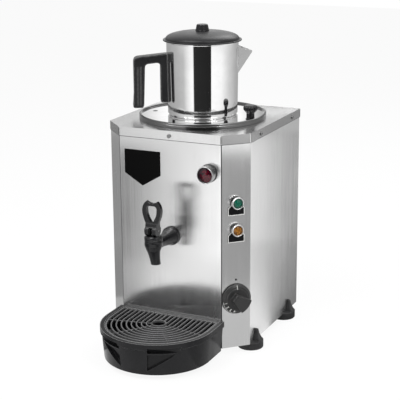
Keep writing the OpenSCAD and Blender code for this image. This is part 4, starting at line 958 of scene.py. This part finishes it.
# ---------- thermostat knob ----------
KNOB_Z = 100.6
NUMBER_R = 24.0
NUMBER_HIGH = 7.0
FIRST_NUMBER, NUMBER_STEP, NUMBERS = 193, 21, 4


def on_knob(surface, at, angle, radius):
    """Point just above the face of the knob."""
    out = (at.to_3x3() @ Vector((0, 0, 1))).normalized()
    above = at @ Vector((radius * cos(angle), radius * sin(angle), 30))
    return surface.ray_cast(above, -out)[0] + out * 0.2 * MM


def number_mesh(number):
    """Flat number, with enough points to follow the knob."""
    words = bpy.data.curves.new("number", "FONT")
    words.body = str(number)
    words.size = NUMBER_HIGH
    words.offset = 0.16
    words.align_x, words.align_y = "CENTER", "CENTER"
    writer = put("number", words)
    bpy.context.view_layer.update()
    mesh = bpy.data.meshes.new_from_object(writer.evaluated_get(bpy.context.evaluated_depsgraph_get()))
    bpy.data.objects.remove(writer)
    shape = bmesh.new()
    shape.from_mesh(mesh)
    bmesh.ops.triangulate(shape, faces=shape.faces)
    bmesh.ops.subdivide_edges(shape, edges=shape.edges, cuts=2)
    shape.to_mesh(mesh)
    shape.free()
    return mesh


def scale_strips():
    """Strips of the arc line and of the top mark: start angle, angle covered, inner and outer radius."""
    arc_line = [(radians(FIRST_NUMBER - 7 + 4 * step), 0.07, 28.0, 28.5) for step in range(20)]
    top_mark = [(radians(89), 0.035, 21 + step, 22.02 + step) for step in range(7)]
    return arc_line + top_mark


def make_knob():
    """Knob with a grip across it. Plain numbers, an arc line and a top mark are printed on it."""
    at = on_corner(KNOB_Z)
    knob = moulding(copy_of("knob_body", "thermostat_knob"), 0.55, 5)
    stands_for(knob, "thermostat_knob")
    knob.data.materials[0] = FINISHES["knob_plastic"]
    surface = BVHTree.FromPolygons([vertex.co for vertex in knob.data.vertices],
                                   [face.vertices[:] for face in knob.data.polygons])
    shape = bmesh.new()
    for number in range(1, NUMBERS + 1):
        mesh = number_mesh(number)
        turn = radians(FIRST_NUMBER + NUMBER_STEP * (number - 1))
        for vertex in mesh.vertices:
            vertex.co = on_knob(surface, at, turn - vertex.co.x / NUMBER_R, NUMBER_R + vertex.co.y)
        shape.from_mesh(mesh)
    for start, wide, near, far in scale_strips():
        corners = [on_knob(surface, at, start + side, radius)
                   for side, radius in ((0, near), (wide, near), (wide, far), (0, far))]
        shape.faces.new([shape.verts.new(corner) for corner in corners])
    belongs_to(from_shape("knob_scale", shape), "thermostat_knob", "white_print")


# ---------- tap ----------
TAP_X = 1.5
TAP_Y = -HALF_DEEP - 75.0
SHANK_Z = 218.0


def make_tap():
    """Moulded housing and lever, with a turned bonnet between them."""
    mouldings = (("tap_housing", "tap_body", 0.5, 5), ("tap_handle", "tap_lever", 0.45, 6))
    for name, node, voxel, rounds in mouldings:
        made = moulding(copy_of(name, node), voxel, rounds)
        stands_for(made, node)
        made.data.materials[0] = FINISHES["tap_plastic"]
    low = SHANK_Z + 11.3
    rows = eased([(3.1, low + 1), (16.4, low), (17.3, low + 1.2, 0.5), (17.3, low + 3.4, 0.5),
                  (16.3, low + 4.0, 0.3), (17.3, low + 4.6, 0.5), (17.3, low + 6.6, 0.8),
                  (16.2, low + 8.6, 0.8), (13.6, low + 10.7, 0.8), (3.1, low + 10.7)])
    bonnet = lathe("tap_cap", rows, casing(TAP_X, TAP_Y), 96, wave=lug_wave)
    stands_for(bonnet, "tap_bonnet")
    bonnet.data.materials[0] = FINISHES["tap_plastic"]


def lug_wave(radius, height, angle):
    """The bonnet's flange grows into a lug at its left and right."""
    near = max(0.0, abs(cos(angle)) - 0.93) / 0.07
    return radius + (1.1 * near if height < SHANK_Z + 15.5 and radius > 16 else 0)


# ---------- drip tray and grid ----------
TRAY_Y = -HALF_DEEP - 56.5
TRAY_BACK = -HALF_DEEP - 0.3
TRAY_R = 113.5
TRAY_RIM = 57.5
BAND_WIDE = 9.0
BACK_BAND = 6.0
LINE_WIDE = 0.7


def make_tray():
    """Tray, with painted highlight lines along the inner and outer edge of its rim."""
    tray = bent_edges("tray_shell", "drip_tray", 0.9, 3)
    tray.data.materials[0] = FINISHES["tray_plastic"]
    low, high = TRAY_RIM - 0.2, TRAY_RIM + 0.04
    outer, inner = TRAY_R - 0.5, TRAY_R - BAND_WIDE
    # Painted highlights: light grey lines along the outer and inner edge of the rim, and across its back
    parts = [rib("rim_highlight_line", radius, LINE_WIDE, low, high, TRAY_BACK - inset)
             for radius, inset in ((outer, 1), (inner + 0.8, BACK_BAND))]
    for half, inset in ((outer, 1), (inner, BACK_BAND)):
        back = TRAY_BACK - inset
        outline = [(-half, back - LINE_WIDE), (half, back - LINE_WIDE), (half, back), (-half, back)]
        parts.append(plate("rim_highlight_line", outline, low, high, 0, casing()))
    lines = joined("tray_highlight_lines", parts)
    shade(lines, 40)
    belongs_to(lines, "drip_tray", "highlight_plastic")


def rib(name, radius, wide, low, high, back, steps=40):
    """Bar that follows the tray's shape: a half round with straight sides back to the panel."""
    ease = 0.32 * wide
    section = eased([(radius - wide, low), (radius, low), (radius, high, ease), (radius - wide, high, ease)],
                    closed=True, steps=3)
    points = []
    stations = [(0, back, 1, 0)]
    stations += [(0, TRAY_Y, cos(radians(turn)), sin(radians(turn)))
                 for turn in [-180 * step / steps for step in range(steps + 1)]]
    stations += [(0, back, -1, 0)]
    for x, y, across, along in stations:
        points += [(x + reach * across, y + reach * along, height) for reach, height in section]
    count = len(section)
    faces = [list(range(count)), list(range(len(points) - count, len(points)))]
    for row in range(len(stations) - 1):
        here, ahead = row * count, (row + 1) * count
        for step in range(count):
            after = (step + 1) % count
            faces.append([here + step, here + after, ahead + after, ahead + step])
    return make_piece(name, points, faces, casing(), 50)


def bar(name, outline, low, high):
    """Straight bar of the grid, with eased edges."""
    return plate(name, outline, low, high, 0.4, casing(), 40, 2)


def make_grid():
    """Grid of U-shaped ribs round a finger hole, with spokes under them and a beam along the back."""
    high = TRAY_RIM - 0.5
    low = high - 4
    back = TRAY_BACK - BACK_BAND - 0.4
    frame_wide, rib_wide, pitch, hub = 4.0, 2.6, 9.7, 15.5
    outer = TRAY_R - BAND_WIDE - 0.4
    inner = outer - frame_wide
    parts = [rib("frame", outer, frame_wide, low, high, back)]
    radius = hub
    while radius < inner - 1:
        parts.append(rib("rib", radius, rib_wide, low + 0.4, high, back - 1))
        radius += pitch
    section = eased([(hub - rib_wide, low), (hub, low), (hub, high, 1), (hub - rib_wide, high, 1)])
    parts.append(lathe("hub", section, casing(0, TRAY_Y), 64))
    for turn in (-80, -37, 37, 80):
        angle = radians(turn - 90)
        along, across = Vector((cos(angle), sin(angle))), Vector((-sin(angle), cos(angle)))
        start, end = along * (hub - 1), along * (inner + 1)
        corners = [start - across * 0.8, end - across * 0.8, end + across * 0.8, start + across * 0.8]
        parts.append(bar("spoke", [(point.x, point.y + TRAY_Y) for point in corners], low, high - 2))
    for side in (-1, 1):
        left, right, near, far = side * hub / 3 - 1.5, side * hub / 3 + 1.5, TRAY_Y + hub - 2, back - 1
        parts.append(bar("rib", [(left, near), (right, near), (right, far), (left, far)], low + 0.4, high))
    beam = [(-outer, back - frame_wide), (outer, back - frame_wide), (outer, back), (-outer, back)]
    parts.append(bar("beam", beam, low, high))
    grid = joined("grid_ribs", parts)
    shade(grid, 45)
    stands_for(grid, "drip_grid")


# ---------- lid of the urn ----------
LID_R = 127.0
DISH_HIGH = 6
RIM_WIDE = 5.2
VENT_X, KNOB_X, LID_LINE_Y = -99.0, 109.5, -15.0


def make_urn_lid():
    """Dished lid with a rolled rim, a round vent and a fluted knob."""
    at = casing(z=CASING_HIGH)
    dish = [(0, DISH_HIGH)] + eased([(121, DISH_HIGH), (122, DISH_HIGH, 0.8), (122, 7.5)], steps=3)[1:]
    rolled = arc(124.5, 7.5, 2.5, 180, 0, 12) + [(LID_R, 5.4), (LID_R - 0.4, 4.6), (LID_R, 3.8)]
    under = [(LID_R, 0.3), (LID_R - 1, 0.3), (LID_R - 1, DISH_HIGH - 1), (0, DISH_HIGH - 1)]
    lid = lathe("urn_lid_dish", dish + rolled + under, at, 160)
    vent = lathe("hole", [(0, -3), (5, -3), (5, 12), (0, 12)], casing(VENT_X, LID_LINE_Y, CASING_HIGH), 40)
    cut(lid, vent)
    stands_for(lid, "urn_lid")
    # Painted shade: the rolled rim gets the darker steel
    lid.data.materials.append(FINISHES["painted_shade_rim_steel"])
    for face in lid.data.polygons:
        out = face.center - at.translation
        if hypot(out.x, out.y) > (LID_R - RIM_WIDE) * MM:
            face.material_index = 1
    section = eased([(0, 0), (9.6, 0), (9.6, 0.9, 0.3), (8, 1.6, 0.8), (7.8, 12, 3), (13.8, 18.6, 2),
                     (14, 23.5, 2.4), (11, 27.4, 2.5), (0, 28)])
    knob_foot = casing(KNOB_X, LID_LINE_Y, CASING_HIGH + DISH_HIGH)
    stands_for(lathe("urn_lid_grip", section, knob_foot, 144, wave=flutes), "lid_knob")


def flutes(radius, height, angle):
    """Twelve flutes round the head of the knob."""
    hollow = (0.5 + 0.5 * cos(12 * angle)) ** 3
    return radius * (1 - 0.11 * hollow * min(1.0, max(0.0, (radius - 8.5) / 4)))


# ---------- teapot ----------
POT_Z = CASING_HIGH + 6.3
POT_HIGH = 146.0
SPOUT_TURN = 30.0


def strainer_hole(pot, column, row):
    """Cutter for one of the holes behind the spout."""
    height = POT_HIGH - 12 - 9 * row - 4 * abs(column)
    at = pot @ turned(6 * column, "Z") @ Matrix.Translation((70, 0, height)) @ turned(90, "Y")
    return lathe("hole", [(0, -10), (2.5, -10), (2.5, 10), (0, 10)], at, 20)


def make_teapot():
    """Body with a strainer behind the folded spout, handle, and lid with its knob."""
    at = casing(z=POT_Z) @ turned(SPOUT_TURN, "Z")
    inside = [(0, 4.2), (68.3, 4.2, 4), (70.3, POT_HIGH - 0.3, 0.3)]
    lip = [(71.7, POT_HIGH, 0.5), (71.9, POT_HIGH - 1.6, 0.6), (71.4, POT_HIGH - 3)]
    foot = [(69.5, 3, 3.5), (67.2, 3, 0.4), (67, 0, 0.6), (64.8, 0, 0.5), (64.5, 2.2, 1), (0, 3)]
    body = lathe("teapot_shell", eased(inside + lip + foot), at, 160)
    holes = [strainer_hole(at, column, row) for column in (-1, 0, 1) for row in range(4)]
    cut(body, joined("holes", holes))
    stands_for(body, "teapot_body")
    spout = bent_edges("teapot_spout_sheet", "teapot_spout", 0.3, 2)
    spout.data.materials[0] = FINISHES["spout_steel"]
    make_handle(at)
    make_teapot_lid(at @ Matrix.Translation((0, 0, POT_HIGH)))


def make_handle(at):
    """Handle: a hook whose side faces carry two grooves down its outer leg."""
    wall, gap_in, gap_out, reach = 66.5, 84.0, 114.0, 137.0
    top, low, half, groove_deep = 123.0, 15.0, 11.5, 0.8
    outline = eased([(wall, low + 10), (gap_in, low + 10, 4), (gap_in, top - 18, 8),
                     (gap_out, top - 21.5, 8), (gap_out + 3, low + 6, 8), (gap_out + 5, low, 4),
                     (reach + 2, low, 4), (reach, low + 30), (reach, top - 7, 11), (wall, top)],
                    closed=True, steps=8)
    side = at @ turned(180, "Z") @ turned(90, "X")
    handle = plate("teapot_grip", outline, -half, half, 2.2, side, 35, 4)
    outside = lathe("pot", [(0, 0), (69.5, 3), (71.5, POT_HIGH), (0, POT_HIGH)], at, 160)
    grooves = []
    for face in (-half, half):
        for x in (gap_out + 9.5, gap_out + 15.5):
            line = [(x - 0.7, low + 6), (x + 0.7, low + 6), (x - 0.3, top - 26), (x - 1.7, top - 26)]
            grooves.append(plate("groove", line, face - groove_deep, face + groove_deep, 0, side))
    cut(handle, outside, *grooves)
    stands_for(handle, "teapot_handle")
    handle.data.materials[0] = FINISHES["grip_plastic"]


def make_teapot_lid(at):
    """Domed lid with a rolled rim, a plug that fits the mouth, and a turned knob."""
    neck, rise, top, power, steps = 73.0, 2.9, 19.0, 2.4, 18
    dome = []
    for step in range(steps + 1):
        angle = radians(90 * step / steps)
        dome.append((neck * cos(angle) ** (2 / power), rise + (top - rise) * sin(angle) ** (2 / power)))
    dome[-1] = (0, top)
    rim = [(70.2, 0.3)] + arc(76.7, 1.6, 1.3, -90, 90, 8) + [(74.2, 2.5), (73.4, 2.6)]
    inside = [(0, top - 1), (36, top - 3.6), (66, 7.5), (71, 3.3), (69.2, 2.3), (69.2, -9), (70.2, -9)]
    lid = lathe("teapot_lid_dome", inside + rim + dome, at, 160)
    stands_for(lid, "teapot_lid")
    lid.data.materials[0] = FINISHES["lid_plastic"]
    knob = eased([(0, -0.5), (13.7, -0.5), (13.7, 0.8, 0.5), (13.3, 1.6, 0.4), (11.3, 11.2, 0.6),
                  (10.2, 12.5, 0.8), (8.4, 12.5, 0.3), (8, 12.1, 0.3), (0, 12)])
    stands_for(lathe("teapot_lid_grip", knob, at @ Matrix.Translation((0, 0, top)), 96), "teapot_lid_knob")


# ---------- the urn ----------
point_camera()
build_stage()
finish_solids()
make_casing()
make_red_lamp()
for lamp, lamp_height in CORNER_LAMPS:
    make_corner_lamp(lamp, lamp_height)
    make_legend_plate(lamp, lamp_height)
make_badge()
make_knob()
make_tap()
make_tray()
make_grid()
make_urn_lid()
make_teapot()

bpy.context.scene.view_settings.view_transform = "Standard"
